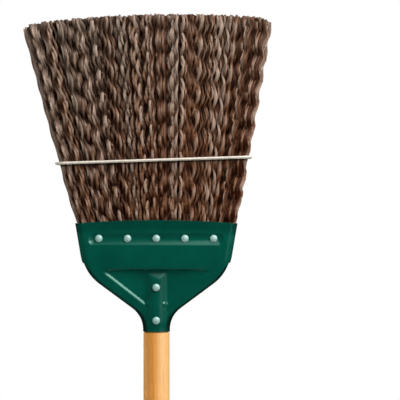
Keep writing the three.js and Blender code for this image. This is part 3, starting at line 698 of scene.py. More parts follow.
def press_face(grid):
    """Sinks the triangle and the trough into a grid of the cap's outside and leaves the ridge standing."""
    across, out, height = np.moveaxis(grid, -1, 0)
    walls = recess_walls(across, height)
    sunk = out - soft_most(walls, 0 * walls, LIP_ROUND)
    floored = soft_most(sunk, recess_floor(across), FLOOR_ROUND)
    face = np.where(walls > LIP_ROUND, floored, sunk)
    face = np.minimum(face, CAP_HALF_DEPTH - trough_depth(across, height))
    ease = RIDGE_ROUND * smoothstep(out, -SEAM_GAP, SEAM_EASE)
    pressed = soft_most(face, ridge_reach(across, height), ease)
    from_pucker = np.hypot(np.abs(across) - PUCKER_ASIDE, height - PUCKER_AT)
    pressed = pressed + PUCKER_HEIGHT * np.exp(-(from_pucker / PUCKER_SIZE) ** 2)
    return np.stack([across, pressed, height], -1)


cap_grid = press_face(sections[..., :3])
print("the pressed face stands out", round(cap_grid[..., 1].max(), 1), "mm at most")

# %% [markdown]
# The front half grips the back half. Along each side a strip of its edge steps outwards by the thickness of
# the sheet and runs on past the seam, over the back half. In the grid that is a few more columns beyond
# each seam, which keep their faces only in the rows of the strip. Solidify then gives both halves the
# thickness of the sheet, and a narrow bevel takes the edge off its cut rim, where the paint catches the
# light.

# %% Laps and sheet
LAP_FROM = 76.0
LAP_EASE = 1.0
LAP_REACH = 9.0
LAP_STEP = SHEET + 0.3
LAP_STEP_WIDTH = 1.6
LAP_COLUMNS = 12
LAP_SIDENESS = 0.07
SHEET_SHARP = 50
EDGE_BEVEL = 0.3
EDGE_ANGLE = 60
EDGE_SEGMENTS = 2


def lapped(grid):
    """The front half's grid with its side strips stepped out and run on past the seams."""
    across, out, height = np.moveaxis(grid, -1, 0)
    strip = smoothstep(height, LAP_FROM - LAP_EASE, LAP_FROM)
    beside = smoothstep(LAP_REACH + LAP_STEP_WIDTH - out, 0, LAP_STEP_WIDTH)
    stepped = across + np.sign(across) * LAP_STEP * strip * beside
    body = np.stack([stepped, out, height], -1)
    reach = np.linspace(LAP_REACH, 0, LAP_COLUMNS, endpoint=False)
    right = np.repeat(body[:, :1], LAP_COLUMNS, 1)
    left = np.repeat(body[:, -1:], LAP_COLUMNS, 1)
    right[..., 1] = -reach
    left[..., 1] = -reach[::-1]
    return np.concatenate([right, body, left], 1)


def note(piece, name, values):
    """Keeps one number for each point of a piece, which a material can read by this name."""
    layer = piece.data.attributes.new(name, "FLOAT", "POINT")
    layer.data.foreach_set("value", np.ascontiguousarray(values, np.float32).ravel())


def sheet_piece(name, grid, faces, side_values):
    """A half of the cap, from the grid of its outside, with the thickness of the sheet."""
    piece = make_piece(name, grid, faces, enamel, SHEET_SHARP)
    note(piece, "sideness", side_values)
    solid = piece.modifiers.new("sheet", "SOLIDIFY")
    solid.thickness = SHEET * MM
    solid.offset = -1
    bevel = piece.modifiers.new("cut_edge", "BEVEL")
    bevel.width = EDGE_BEVEL * MM
    bevel.limit_method = "ANGLE"
    bevel.angle_limit = math.radians(EDGE_ANGLE)
    bevel.segments = EDGE_SEGMENTS
    return piece


print("the front half laps over the back half by", LAP_REACH, "mm")

# %% Press the two halves
TO_FRONT = np.array([1, -1, 1])
LIFT = np.array([0, 0, MOUTH_Z])

front = lapped(cap_grid)
front_columns = front.shape[1]
front_faces = np.array(grid_faces(CAP_ROWS, front_columns))
face_row, face_column = np.divmod(front_faces[:, 0], front_columns)
in_body = (face_column >= LAP_COLUMNS) & (face_column < front_columns - LAP_COLUMNS - 1)
in_strip = row_heights[face_row] > LAP_FROM
front_faces = front_faces[in_body | in_strip][:, ::-1].tolist()
lap_sides = np.full((CAP_ROWS, LAP_COLUMNS), LAP_SIDENESS)
front_sides = np.concatenate([lap_sides, sideness, lap_sides], 1)
cap_front = sheet_piece("cap_front_half", front * TO_FRONT + LIFT, front_faces, front_sides)
hand_over(cap_front, "cap_enamel", "cap_front")
cap_back = sheet_piece("cap_back_half", cap_grid + LIFT, grid_faces(CAP_ROWS, CAP_COLUMNS), sideness)
hand_over(cap_back, "cap_enamel", "cap_back")

# %% [markdown]
# ## Rivets: zinc-plated steel
# Seven rivets hold the cap: five through the fibre in the trough and two through the handle. They are cold
# headed from plated wire, so a head is a smooth low dome, and the tail at the back is a flat button that a
# hammer spread. The plating has a dull, bluish white skin over the metal, a little clouded where it was
# struck.

# %% Zinc plate
STRUCK_CLOUD = 2.5
PLATED_ROUGHNESS = (0.4, 0.55)

zinc, tree, plated = new_material("steel_zinc_plated_struck")
place = add(tree, "TexCoord").outputs["Object"]
clouds = add(tree, "TexNoise", {
    "Vector": place, "Scale": 1 / (STRUCK_CLOUD * MM), "Detail": 3.0,
}).outputs["Fac"]
tone = add(tree, "Mix", {SHARE: clouds, UNDER: linear("#86b0a8"), OVER: linear("#b0d2cc")}, data_type="RGBA")
dulled = add(tree, "MapRange", (clouds, 0.0, 1.0, *PLATED_ROUGHNESS))
plug(tree, plated, {"Base Color": tone.outputs[MIXED], "Roughness": dulled, "Metallic": 0.25})
print("the plating clouds every", STRUCK_CLOUD, "mm")

# %% Strike the rivets
RIVET_SIDES = 40
SHANK_RADIUS = 2.5
HEAD_HEIGHT = 2.6
HEAD_LIP = 0.5
DOME_STEPS = 12
TAIL_HEIGHT = 1.6
TAIL_RADIUS = 3.7
TAIL_EDGE = 0.5
TOWARDS_FRONT, TOWARDS_BACK = -1, 1


def dome(radius, foot, top, lip):
    """Radius and height pairs of a low dome on a short upright lip."""
    angle = np.linspace(0, math.pi / 2, DOME_STEPS, endpoint=False)
    rise = top - foot - lip
    return [(radius, foot)] + [(radius * math.cos(a), foot + lip + rise * math.sin(a)) for a in angle]


def headed(name, profile, middle, facing):
    """A plated piece turned on an axis from front to back through this point, its head facing this way."""
    across, up, out = np.moveaxis(turned(profile, RIVET_SIDES), -1, 0)
    points = np.stack([middle[0] - facing * across, facing * out, up + middle[2]], -1)
    return make_piece(name, points, tube_faces(len(profile), RIVET_SIDES), zinc)


def strike_rivet(node):
    """A rivet with a domed head in front and a spread tail behind, in the place of its solid."""
    low, high = box_mm(node)
    seat = -low[1] - HEAD_HEIGHT
    tail_seat = -high[1] + TAIL_HEIGHT
    profile = [
        (TAIL_RADIUS - TAIL_EDGE, -high[1]),
        (TAIL_RADIUS, -high[1] + TAIL_EDGE),
        (TAIL_RADIUS, tail_seat),
        (SHANK_RADIUS, tail_seat),
        (SHANK_RADIUS, seat),
        *dome((high[0] - low[0]) / 2, seat, -low[1], HEAD_LIP),
    ]
    return headed(node + "_struck", profile, centre_mm(node), TOWARDS_FRONT)


RIVETS = [node for node in sorted(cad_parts) if "_rivet_" in node]
for node in RIVETS:
    hand_over(strike_rivet(node), "rivet_steel", node)

# %% [markdown]
# ## Fill: crimped fibre
# The fan is made of thousands of stiff plastic fibres, drawn through heated dies and crimped into small
# waves so that they stand apart and hold dirt. Each is brown right through, but the batch is mixed: greyer
# and redder fibres lie side by side. The tone at every point is kept on the mesh as two numbers, how light
# and how warm it is, and the material reads them. The lightest tones, which are mostly the painted
# highlights on crests and side fibres, fade to a pale beige. Towards the tips the brown fades to a paler and
# cooler one, and a painted shadow of the wire lies as a dark line under it. Drawn plastic has a satin shine.

# %% Where the wire lies
WIRE_RADIUS = 1.5

band_low, band_high = box_mm("wire_band")
hoop_middle = centre_mm("wire_band")
hoop_half = (band_high - band_low) / 2 - WIRE_RADIUS
BAND_TILT = hoop_half[2] / hoop_half[0]
BAND_HEIGHT = hoop_middle[2] - MOUTH_Z
print("the wire lies", round(BAND_HEIGHT), "mm above the cap's mouth and tilts by", round(BAND_TILT, 3))

# %% Mixed brown fibre
MOTTLE_LENGTH = 11.0
MOTTLE = (-0.3, 0.4)
TIP_FADE = 0.68
TIP_PALE = 0.4
# Painted highlight on the lightest tones.
PALE_HIGHLIGHT_FROM, PALE_HIGHLIGHT_SHOWS = (0.55, 1.0), 0.75
# Painted shadow: a dark line painted on the fibre just under the wire, where its shadow falls.
WIRE_SHADOW_FROM, WIRE_SHADOW_TO = (-4.2, -3.0), (-1.6, -1.2)
WIRE_SHADOW_SHOWS = 0.85
WIRE_SHADOW_COLOUR = "#0f0c08"
HIGHLIGHT_BEIGE = "#a38f81"

fibre, tree, satin = new_material("polypropylene_drawn_crimped_brown")
light = add(tree, "Attribute", attribute_name="lightness").outputs["Fac"]
warm = add(tree, "Attribute", attribute_name="warmth").outputs["Fac"]
place = add(tree, "TexCoord").outputs["Object"]
mottle = add(tree, "TexNoise", {"Vector": place, "Scale": 1 / (MOTTLE_LENGTH * MM), "Detail": 2.0})
uneven = add(tree, "MapRange", (mottle.outputs["Fac"], 0.0, 1.0, *MOTTLE))
axes = add(tree, "SeparateXYZ", (place,)).outputs
faded = add(tree, "MapRange", (axes["Z"], cap_high[2] * MM, cad_high.z, TIP_FADE / 2, -TIP_FADE / 2))
paler = add(tree, "Math", (faded, -TIP_PALE, uneven), operation="MULTIPLY_ADD")
lightness = add(tree, "Math", (light, paler), operation="ADD", use_clamp=True)
warmth = add(tree, "Math", (warm, faded), operation="ADD", use_clamp=True)
cool_tone = add(tree, "Mix", {
    SHARE: lightness, UNDER: linear("#2a1205"), OVER: linear("#8e7a6a"),
}, data_type="RGBA").outputs[MIXED]
warm_tone = add(tree, "Mix", {
    SHARE: lightness, UNDER: linear("#340f00"), OVER: linear("#8e5f40"),
}, data_type="RGBA").outputs[MIXED]
# Painted highlight: the lightest tones, mostly the painted crests and side fibres, fade to a pale beige.
pale_highlight = add(tree, "MapRange", (lightness, *PALE_HIGHLIGHT_FROM, 0.0, PALE_HIGHLIGHT_SHOWS))
# Painted shadow of the wire, measured from the wire's tilted line.
level_wire = (BAND_TILT * hoop_middle[0] - hoop_middle[2]) * MM
below_wire = add(tree, "Math", (axes["X"], -BAND_TILT, level_wire), operation="MULTIPLY_ADD")
from_wire = add(tree, "Math", (axes["Z"], below_wire), operation="ADD")
shadow_foot = add(tree, "MapRange", (from_wire, *metres(WIRE_SHADOW_FROM), 0.0, WIRE_SHADOW_SHOWS))
shadow_top = add(tree, "MapRange", (from_wire, *metres(WIRE_SHADOW_TO), 1.0, 0.0))
wire_shadow = add(tree, "Math", (shadow_foot, shadow_top), operation="MULTIPLY")
brown = cool_tone
for share, over in ((warmth, warm_tone), (pale_highlight, linear(HIGHLIGHT_BEIGE)), (wire_shadow, linear(WIRE_SHADOW_COLOUR))):
    brown = add(tree, "Mix", {SHARE: share, UNDER: brown, OVER: over}, data_type="RGBA").outputs[MIXED]
plug(tree, satin, {
    "Base Color": brown, "Roughness": 0.48, "IOR": 1.5, "Specular IOR Level": 0.3,
    "Specular Tint": linear("#f2dac6"),
})
print("the grime is", round(WIRE_SHADOW_TO[1] - WIRE_SHADOW_FROM[0], 1), "mm high")

# %% [markdown]
# ## Fill: the plan of the fan
# A fibre starts at a place in the cap's mouth, given as two shares: across the broom and from front to
# back, both from -1 to 1. The same shares give its tip in the wide end of the fan, and a straight line
# joins the two. The tips are trimmed along a shallow arc.

# %% Lines of the fan
ROOT_HEIGHT = 117.8
ROOT_HALF_WIDTH = 85.2
ROOT_HALF_DEPTH = 13.5
TIP_PEAK = 25.0
TIP_ARC = 1300.0
TIP_CORNER_FROM = 0.86
TIP_CORNER_DROP = 3.0
CORNER_DRAW = 0.06
FIBRE_HALF_WIDTH = 1.3
BUNDLES = (1, 2, 3, 4)

bundle_boxes = np.array([box_mm(f"bristle_bundle_{number}") for number in BUNDLES])
fan_low = bundle_boxes[:, 0].min(0)
fan_high = bundle_boxes[:, 1].max(0)
FAN_MIDDLE = (fan_low[0] + fan_high[0]) / 2
FAN_HALF_WIDTH = (fan_high[0] - fan_low[0]) / 2 - FIBRE_HALF_WIDTH
FAN_HALF_DEPTH = (fan_high[1] - fan_low[1]) / 2 - FIBRE_HALF_WIDTH
FAN_TOP = fan_high[2] - MOUTH_Z
print("the fan is", round(2 * FAN_HALF_WIDTH), "mm wide at its tips")


def fan_line(across, through):
    """Root and tip of the straight lines for these places across the broom and from front to back."""
    root = np.stack([across * ROOT_HALF_WIDTH, through * ROOT_HALF_DEPTH, 0 * across + ROOT_HEIGHT], -1)
    tip_x = FAN_MIDDLE + across * FAN_HALF_WIDTH
    tip_z = FAN_TOP - (tip_x - TIP_PEAK) ** 2 / (2 * TIP_ARC)
    tip_z -= TIP_CORNER_DROP * smoothstep(np.abs(across), TIP_CORNER_FROM, 1.0)
    return root, np.stack([tip_x, through * FAN_HALF_DEPTH, tip_z], -1)


def corner_draw(across, through):
    """The share that is left where a corner of the fan is drawn in. It rounds the fan seen from above."""
    return 1 - CORNER_DRAW * through**2 * across**4


# %% [markdown]
# The fibres come in tufts that share their wave. Tufts stand in columns, some of which wave against their
# neighbours, and groups of columns form locks with darker channels between them. All of that is drawn by
# seeded dice, so each run gives the same fan.

# %% Tufts and locks
SEED = 7
TUFT_COLUMNS = 92
TUFT_ROWS = 12
TUFT_JITTER = 0.6
LOCKS = 17
LOCK_WANDER = 1.7
LOCK_SWAY = 4.1
LOCK_BLUR = 0.5
CHANNEL_FROM = (0.2, 1.0)
CHANNEL_DEPTH = 0.22

dice = np.random.default_rng(SEED)


def scattered(index, count):
    """Shares from -1 to 1 for so many numbered places, each moved a little by chance."""
    return (2 * index + 1 + dice.uniform(-TUFT_JITTER, TUFT_JITTER, len(index))) / count - 1


column, row = np.meshgrid(np.arange(TUFT_COLUMNS), np.arange(TUFT_ROWS), indexing="ij")
column, row = column.ravel(), row.ravel()
tufts = len(column)
across = scattered(column, TUFT_COLUMNS)
through = scattered(row, TUFT_ROWS)
lock_sway = LOCK_WANDER * np.sin(LOCK_SWAY * across) + dice.uniform(-LOCK_BLUR, LOCK_BLUR, tufts)
lock_turn = (across + 1) * LOCKS / 2 + lock_sway / math.tau
lock = np.clip(lock_turn, 0, LOCKS - 1).astype(int)
channel = smoothstep(np.cos(lock_turn * math.tau), *CHANNEL_FROM)
through = through * (1 - CHANNEL_DEPTH * channel)
print("the fan has", tufts, "tufts in", LOCKS, "locks")

# %% [markdown]
# Each tuft then gets its wave and its tone. A wave's plane says whether it swings sideways or from front to
# back. Inner rows and the channels between locks get painted shade. At the sides the outermost fibres get
# painted light, with a dark gap of painted shade behind them, and the right side also waves more sideways.
# The middle of the fan is a little darker and warmer, and the right side warmer than the left.

# %% Waves and tones of the tufts
OUTER_ROWS = 2
EDGE_COLUMNS = 2
CRIMP_PITCH = 26.0
PITCH_RANGE = (0.97, 1.03)
TUFT_PHASE = 0.4
LOCK_PLANE = (0.95, 1.3)
TUFT_PLANE = 0.15
EDGE_FROM = (0.9, 0.96)
LEFT_EDGE_PLANE, RIGHT_EDGE_PLANE = 1.5, 1.05
# Painted light on the outermost side fibres and painted shade in the gap behind them.
RIM_FROM = (0.97, 0.982)
LEFT_RIM_PALE, RIGHT_RIM_PALE = 0.8, 0.45
GAP_AT, GAP_WIDTH, GAP_SHADE = 0.945, 0.02, 0.65
MIDDLE_WIDTH, MIDDLE_SHADE, MIDDLE_WARMTH = 0.45, 0.08, 0.16
BASE_LIGHT, TUFT_LIGHT = 0.51, 0.18
RIGHT_PALE, CHANNEL_SHADE, DEEP_SHADE = 0.05, 0.45, 0.4
BASE_WARMTH, LOCK_WARMTH, TUFT_WARMTH = 0.6, 0.14, 0.12
RIGHT_WARMTH = 0.45

# Painted shade on inner rows and inner columns.
from_face = np.minimum(row, TUFT_ROWS - 1 - row)
from_edge = np.minimum(column, TUFT_COLUMNS - 1 - column)
deep = np.minimum(np.minimum(from_face, from_edge), OUTER_ROWS)
aside = np.abs(across) * corner_draw(across, through)
rim = np.where(across > 0, RIGHT_RIM_PALE, LEFT_RIM_PALE) * smoothstep(aside, *RIM_FROM)
gap = GAP_SHADE * np.exp(-((aside - GAP_AT) / GAP_WIDTH) ** 2)
middle = np.exp(-(across / MIDDLE_WIDTH) ** 2)
base = BASE_LIGHT + RIGHT_PALE * np.maximum(across, 0) - MIDDLE_SHADE * middle
plane = dice.uniform(*LOCK_PLANE, LOCKS)[lock] + dice.normal(0, TUFT_PLANE, tufts)
edge_plane = np.where(across > 0, RIGHT_EDGE_PLANE, LEFT_EDGE_PLANE)
plane = plane + (edge_plane - plane) * smoothstep(np.abs(across), *EDGE_FROM)
counter = dice.choice([0, math.pi], TUFT_COLUMNS)[column] * (across < EDGE_FROM[0])
# The dice are thrown in this order, from the top down.
tuft = {
    "across": across,
    "through": through,
    "outer": (from_face < OUTER_ROWS) | (from_edge < EDGE_COLUMNS),
    "pitch": CRIMP_PITCH * dice.uniform(*PITCH_RANGE, tufts),
    "phase": dice.uniform(0, math.tau, LOCKS)[lock] + counter + dice.normal(0, TUFT_PHASE, tufts),
    "plane": plane * dice.choice([-1, 1], LOCKS)[lock],
    # Painted shade in the channels and on inner rows, painted light and shade at the sides.
    "lightness": base + dice.normal(0, TUFT_LIGHT, tufts) - CHANNEL_SHADE * channel
    - DEEP_SHADE * deep + rim - gap,
    "warmth": BASE_WARMTH + RIGHT_WARMTH * across + MIDDLE_WARMTH * middle
    + dice.normal(0, LOCK_WARMTH, LOCKS)[lock] + dice.normal(0, TUFT_WARMTH, tufts),
}
print("tufts that show on the outside:", int(tuft["outer"].sum()))

# %% [markdown]
# A fibre takes its tuft's values and strays from them a little. It also has a place of its own in the tuft,
# its own trimmed end, its own twist and a slow wobble along its wave.

# %% Plan of every fibre
FIBRES_IN_TUFT = 2
TUFT_SPREAD = 1.1
STRAY = {"phase": 0.6, "plane": 0.1, "lightness": 0.12, "warmth": 0.1}
TRIM = (-3.5, -0.5)
FIBRE_TWIST = 0.6

plan = {name: np.repeat(values, FIBRES_IN_TUFT) for name, values in tuft.items()}
fibres = tufts * FIBRES_IN_TUFT
angle = dice.uniform(0, math.tau, fibres)
radius = TUFT_SPREAD * np.sqrt(dice.uniform(0, 1, fibres))
plan["aside"] = radius * np.cos(angle)
plan["back"] = radius * np.sin(angle)
for name, stray in STRAY.items():
    plan[name] = plan[name] + dice.normal(0, stray, fibres)
plan["trim"] = dice.uniform(*TRIM, fibres)
plan["twist"] = dice.normal(0, FIBRE_TWIST, fibres)
plan["wobble"] = dice.uniform(0, math.tau, fibres)
print("the fan has", fibres, "fibres")

# %% [markdown]
# ## Fill: the fibres
# A fibre is a thin flat rod of four sides, which looks round once it is shaded smooth. Its middle line is
# the straight line of the fan with a wave added. The wave is pinched where the wire band holds the fan, and
# starts small at the cap. The fibres on the outside have enough rings to bend smoothly; those inside show
# only their tips and have few. The crest of a wave is noted too, because it gets a painted highlight.

# %% Draw the fibres
FIBRE_SIDES = 4
FIBRE_HALF_THICKNESS = 0.8
FIBRE_START = -0.045
FAN_BOW = 2.0
CRIMP_HEIGHT = 3.0
CRIMP_EVEN_AT = 250.0
WOBBLE = 0.4
WOBBLE_PITCH = 95.0
WAVE_FROM = (105.0, 160.0)
WAVE_START = 0.4
ROOT_SPREAD, TIP_SPREAD = 0.6, 1.2
BAND_PINCH = 0.5
BAND_SQUEEZE = 0.01
BAND_SPREAD = 12.0


def rod_ring(twist):
    """Points round a flat rod for each of these twists, as steps from its middle line."""
    side = np.arange(FIBRE_SIDES) * math.tau / FIBRE_SIDES
    wide = FIBRE_HALF_WIDTH * np.cos(side)
    thick = FIBRE_HALF_THICKNESS * np.sin(side)
    across = wide * np.cos(twist) - thick * np.sin(twist)
    through = wide * np.sin(twist) + thick * np.cos(twist)
    return np.stack([across, through, 0 * across], -1)


def draw_fibres(chosen, rings):
    """Points (fibre, ring, side) of the chosen fibres, and how far each ring lies on a crest."""
    pick = {name: values[chosen][:, None] for name, values in plan.items()}
    drawn = corner_draw(pick["across"], pick["through"])
    root, tip = fan_line(pick["across"] * drawn, pick["through"] * drawn)
    tip[..., 2] += pick["trim"]
    share = np.linspace(FIBRE_START, 1, rings)[None, :]
    line = root + (tip - root) * share[..., None]
    height = line[..., 2]
    line[..., 0] += pick["across"] * FAN_BOW * np.sin(math.pi * np.sqrt(np.maximum(share, 0)))
    held = np.exp(-((height - BAND_HEIGHT) / BAND_SPREAD) ** 2)
    line[..., 0] -= (line[..., 0] - hoop_middle[0]) * BAND_SQUEEZE * held
    spread = ROOT_SPREAD + (TIP_SPREAD - ROOT_SPREAD) * share
    grown = WAVE_START + (1 - WAVE_START) * smoothstep(height, *WAVE_FROM)
    pinch = 1 - BAND_PINCH * held
    turns = (height - CRIMP_EVEN_AT) / pick["pitch"]
    uneven = WOBBLE * np.sin(math.tau * height / WOBBLE_PITCH + pick["wobble"])
    swing = np.sin(math.tau * turns + pick["phase"] + uneven)
    crest = swing * np.sin(pick["plane"]) * np.sign(pick["through"])
    wave = swing * CRIMP_HEIGHT * grown * pinch
    line[..., 0] += pick["aside"] * spread + wave * np.cos(pick["plane"])
    line[..., 1] += pick["back"] * spread * pinch + wave * np.sin(pick["plane"])
    return line[:, :, None, :] + rod_ring(pick["twist"][..., None]), crest


def fibre_faces(count, rings, start):
    """Faces of so many rods, each a closed tube of its own."""
    one = tube_faces(rings, FIBRE_SIDES)
    shift = start + np.arange(count)[:, None, None] * rings * FIBRE_SIDES
    sides = shift + np.array(one[:-2])
    lids = shift + np.array(one[-2:])
    return sides.reshape(-1, 4).tolist() + lids.reshape(-1, FIBRE_SIDES).tolist()


print("a fibre is", 2 * FIBRE_HALF_WIDTH, "mm wide and", 2 * FIBRE_HALF_THICKNESS, "mm thick")

# %% [markdown]
# Four bundles make up the fan, split at the three inner rivets. Each is one mesh: a block of packed fibre
# ends inside the cap, and every fibre of its part of the fan. The crests get a painted highlight, weaker on
# the right than on the left.

# %% Tie the bundles
ROOTS_LOW = 70.5
ROOTS_HIGH = 114.0
ROOTS_HALF_DEPTH = 15.0
ROOTS_SIDE_GAP = 3.0
OUTER_RINGS = 52
INNER_RINGS = 12
CREST_HIGHLIGHT = 0.42
RIGHT_CALM = 0.35
FIBRE_SHARP = 100
BEYOND_THE_FAN = 2.0


def packed_roots(left, right):
    """The block of packed fibre ends inside the cap, between two shares of its width, as rings of a tube."""
    rings = []
    for height in (ROOTS_LOW, ROOTS_HIGH):
        half_width = np.interp(height, outline[:, 1], outline[:, 0]) - ROOTS_SIDE_GAP
        rings.append(four_corners(left * half_width, right * half_width, ROOTS_HALF_DEPTH, height))
    return np.array(rings)


def tie_bundle(number, left, right):
    """One of the four bundles: its packed roots and every fibre between two shares of the fan's width."""
    inside = (plan["across"] >= left) & (plan["across"] < right)
    points = [packed_roots(max(left, -1), min(right, 1)).reshape(-1, 3)]
    faces = tube_faces(2, 4)
    tones = [np.zeros((len(points[0]), 2))]
    for chosen, rings in ((inside & plan["outer"], OUTER_RINGS), (inside & ~plan["outer"], INNER_RINGS)):
        rods, crest = draw_fibres(chosen, rings)
        faces += fibre_faces(len(rods), rings, sum(len(part) for part in points))
        points.append(rods.reshape(-1, 3))
        # Painted highlight: the outward crests of the waves are painted lighter, less so on the right.
        calm = 1 - RIGHT_CALM * np.maximum(plan["across"][chosen][:, None], 0)
        lightness = plan["lightness"][chosen][:, None] + CREST_HIGHLIGHT * calm * crest
        warmth = np.broadcast_to(plan["warmth"][chosen][:, None], crest.shape)
        tone = np.stack([lightness, warmth], -1).reshape(-1, 2)
        tones.append(np.repeat(np.clip(tone, 0, 1), FIBRE_SIDES, 0))
    piece = make_piece(f"fibre_bundle_{number}", np.concatenate(points) + LIFT, faces, fibre, FIBRE_SHARP)
    for name, values in zip(("lightness", "warmth"), np.concatenate(tones).T):
        note(piece, name, values)
    hand_over(piece, "fibre", f"bristle_bundle_{number}")


inner_cuts = [centre_mm(f"fill_rivet_{number}")[0] / ROOT_HALF_WIDTH for number in (2, 3, 4)]
cuts = [-BEYOND_THE_FAN, *inner_cuts, BEYOND_THE_FAN]
for number, left, right in zip(BUNDLES, cuts, cuts[1:]):
    tie_bundle(number, left, right)

# %% [markdown]
# ## Band: galvanised wire
# A hoop of thick galvanised wire is drawn round the fan and butt welded at the back. Hot zinc leaves a
# pale, creamy skin that looks more white than metallic, with a soft shine and faint spangles. The hoop is a
# closed tube along a rectangle with rounded corners. It tilts a little, as it was pushed on by hand, and it
# swells at the weld.

# %% Zinc skin
SPANGLE = 3.5

galvanised, tree, skin = new_material("steel_wire_hot_galvanised")
place = add(tree, "TexCoord").outputs["Object"]
spangles = add(tree, "TexVoronoi", {"Vector": place, "Scale": 1 / (SPANGLE * MM)})
tone = add(tree, "Mix", {
    SHARE: spangles.outputs["Distance"], UNDER: linear("#ece3d6"), OVER: linear("#d0c8b9"),
}, data_type="RGBA")
plug(tree, skin, {"Base Color": tone.outputs[MIXED], "Metallic": 0.3, "Roughness": 0.5})
print("spangles are", SPANGLE, "mm wide")

# %% Bend the hoop
WIRE_SIDES = 16
HOOP_BEND = 9.0
HOOP_BEND_STEPS = 16
HOOP_STEP = 2.0
WELD_SWELL = 0.45
WELD_LENGTH = 2.5
UP = [0, 0, 1.0]


def unit(vectors):
    """The same directions, each with a length of 1."""
    return vectors / np.linalg.norm(vectors, axis=1, keepdims=True)


corners = rounded_corners(hoop_half[0], hoop_half[1], HOOP_BEND, HOOP_BEND_STEPS)
weld = [[0, hoop_half[1]]]
loop = np.concatenate([weld, *corners[1:], corners[0], weld])
loop_along = along_line(loop)
hoop_length = loop_along[-1]
hoop_rows = int(hoop_length / HOOP_STEP)
hoop_along = np.linspace(0, hoop_length, hoop_rows, endpoint=False)
hoop_x, hoop_y = [np.interp(hoop_along, loop_along, values) for values in loop.T]
middle_line = np.stack([hoop_x, hoop_y, hoop_x * BAND_TILT], -1) + hoop_middle
ahead = unit(np.roll(middle_line, -1, 0) - np.roll(middle_line, 1, 0))
outward = unit(np.cross(ahead, UP))
upward = np.cross(outward, ahead)
from_weld = np.minimum(hoop_along, hoop_length - hoop_along)
wire_radius = WIRE_RADIUS * (1 + WELD_SWELL * np.exp(-(from_weld / WELD_LENGTH) ** 2))
turns = np.linspace(0, math.tau, WIRE_SIDES, endpoint=False)[None, :, None]
ring = outward[:, None] * np.cos(turns) + upward[:, None] * np.sin(turns)
wire_points = middle_line[:, None] + ring * wire_radius[:, None, None]
# One row more than there are points, counted round again from 0, joins the hoop's end to its start.
wire_faces = np.array(grid_faces(hoop_rows + 1, WIRE_SIDES, closed=True)) % (hoop_rows * WIRE_SIDES)
wire = make_piece("wire_hoop", wire_points, wire_faces[:, ::-1].tolist(), galvanised)
hand_over(wire, "galvanised_wire", "wire_band")

# %% [markdown]
# ## Chisel: ground and polished steel
# The chisel's socket is rolled from sheet, welded and linished to a soft satin, and the blade is forged and
# ground. Linishing leaves fine lines along the piece. They are far finer than a pixel, so they are drawn
# coarser here. They spread the highlights across the piece and leave them sharp along it.

# %% Linished steel
LINE_WIDTH, LINE_LENGTH = 0.6, 40.0
LINISHED_ROUGHNESS = (0.36, 0.46)

steel, tree, bright = new_material("steel_ground_linished")
place = add(tree, "TexCoord").outputs["Object"]
line_place = add(tree, "Mapping", {"Vector": place, "Scale": per_metre(LINE_WIDTH, LINE_LENGTH)})
lines = add(tree, "TexNoise", {"Vector": line_place, "Scale": 1.0, "Detail": 2.0}).outputs["Fac"]
tone = add(tree, "Mix", {SHARE: lines, UNDER: linear("#d2d1ce"), OVER: linear("#eeedeb")}, data_type="RGBA")
rough = add(tree, "MapRange", (lines, 0.0, 1.0, *LINISHED_ROUGHNESS))
relief = add(tree, "Bump", {"Height": lines, "Strength": 0.08, "Distance": 0.05 * MM})
plug(tree, bright, {
    "Base Color": tone.outputs[MIXED], "Roughness": rough, "Normal": relief, "Metallic": 1.0,
})
print("linished lines are", LINE_WIDTH, "mm wide and", LINE_LENGTH, "mm long")

# %% [markdown]
# ## Chisel: socket
# The socket is a cone that closes on the handle's end. Its rim carries a low swaged collar, and its nose is
# a rounded dome with a slot for the blade's tang. It is turned from a profile that runs up the outside and
# down the inside. The slot is cut further below, once the blade is there.

# %% Turn the socket
SOCKET_SIDES = 72
SOCKET_WALL = 1.5
CONE_STEPS = 24
COLLAR_HEIGHT = 10.0
COLLAR_PROUD = 0.3
COLLAR_EASE = 0.6
DOME_HEIGHT = 5.0
NOSE_RADIUS = 10.25
NOSE_FROM = math.radians(8)
NOSE_STEPS = 10
NOSE_THICKNESS = 10.0

socket_low, socket_high = box_mm("chisel_socket")
COLLAR_RADIUS = (socket_high[0] - socket_low[0]) / 2
SOCKET_RADIUS = COLLAR_RADIUS - COLLAR_PROUD
cone_foot = socket_low[2] + DOME_HEIGHT
collar_foot = socket_high[2] - COLLAR_HEIGHT
inner_foot = cone_foot + NOSE_THICKNESS


def cone_radius(height):
    """Outer radius of the socket's cone at a height."""
    return NOSE_RADIUS + (SOCKET_RADIUS - NOSE_RADIUS) * (height - cone_foot) / (socket_high[2] - cone_foot)


nose_angle = np.linspace(NOSE_FROM, math.pi / 2, NOSE_STEPS, endpoint=False)
cone_heights = np.linspace(cone_foot, collar_foot - COLLAR_EASE, CONE_STEPS)
socket_profile = [
    *zip(NOSE_RADIUS * np.sin(nose_angle), cone_foot - DOME_HEIGHT * np.cos(nose_angle)),
    *zip(cone_radius(cone_heights), cone_heights),
    (cone_radius(collar_foot) + COLLAR_PROUD, collar_foot),
    (COLLAR_RADIUS, socket_high[2] - COLLAR_EASE),
    (COLLAR_RADIUS - COLLAR_EASE, socket_high[2]),
    (SOCKET_RADIUS - SOCKET_WALL, socket_high[2]),
    (cone_radius(inner_foot) - SOCKET_WALL, inner_foot),
]
socket = lathe("socket_cone", socket_profile, SOCKET_SIDES, steel)
print("the socket's collar is", round(2 * COLLAR_RADIUS, 1), "mm wide")

# %% [markdown]
# ## Chisel: blade
# The blade is forged flat. Seen from the front it narrows a little from the socket's nose to a waist and
# then flares to a wide straight edge. Seen from the side it thins towards that edge and ends in a short
# ground bevel. It is a row of sections with softened corners, from the edge up to the tang inside the nose.

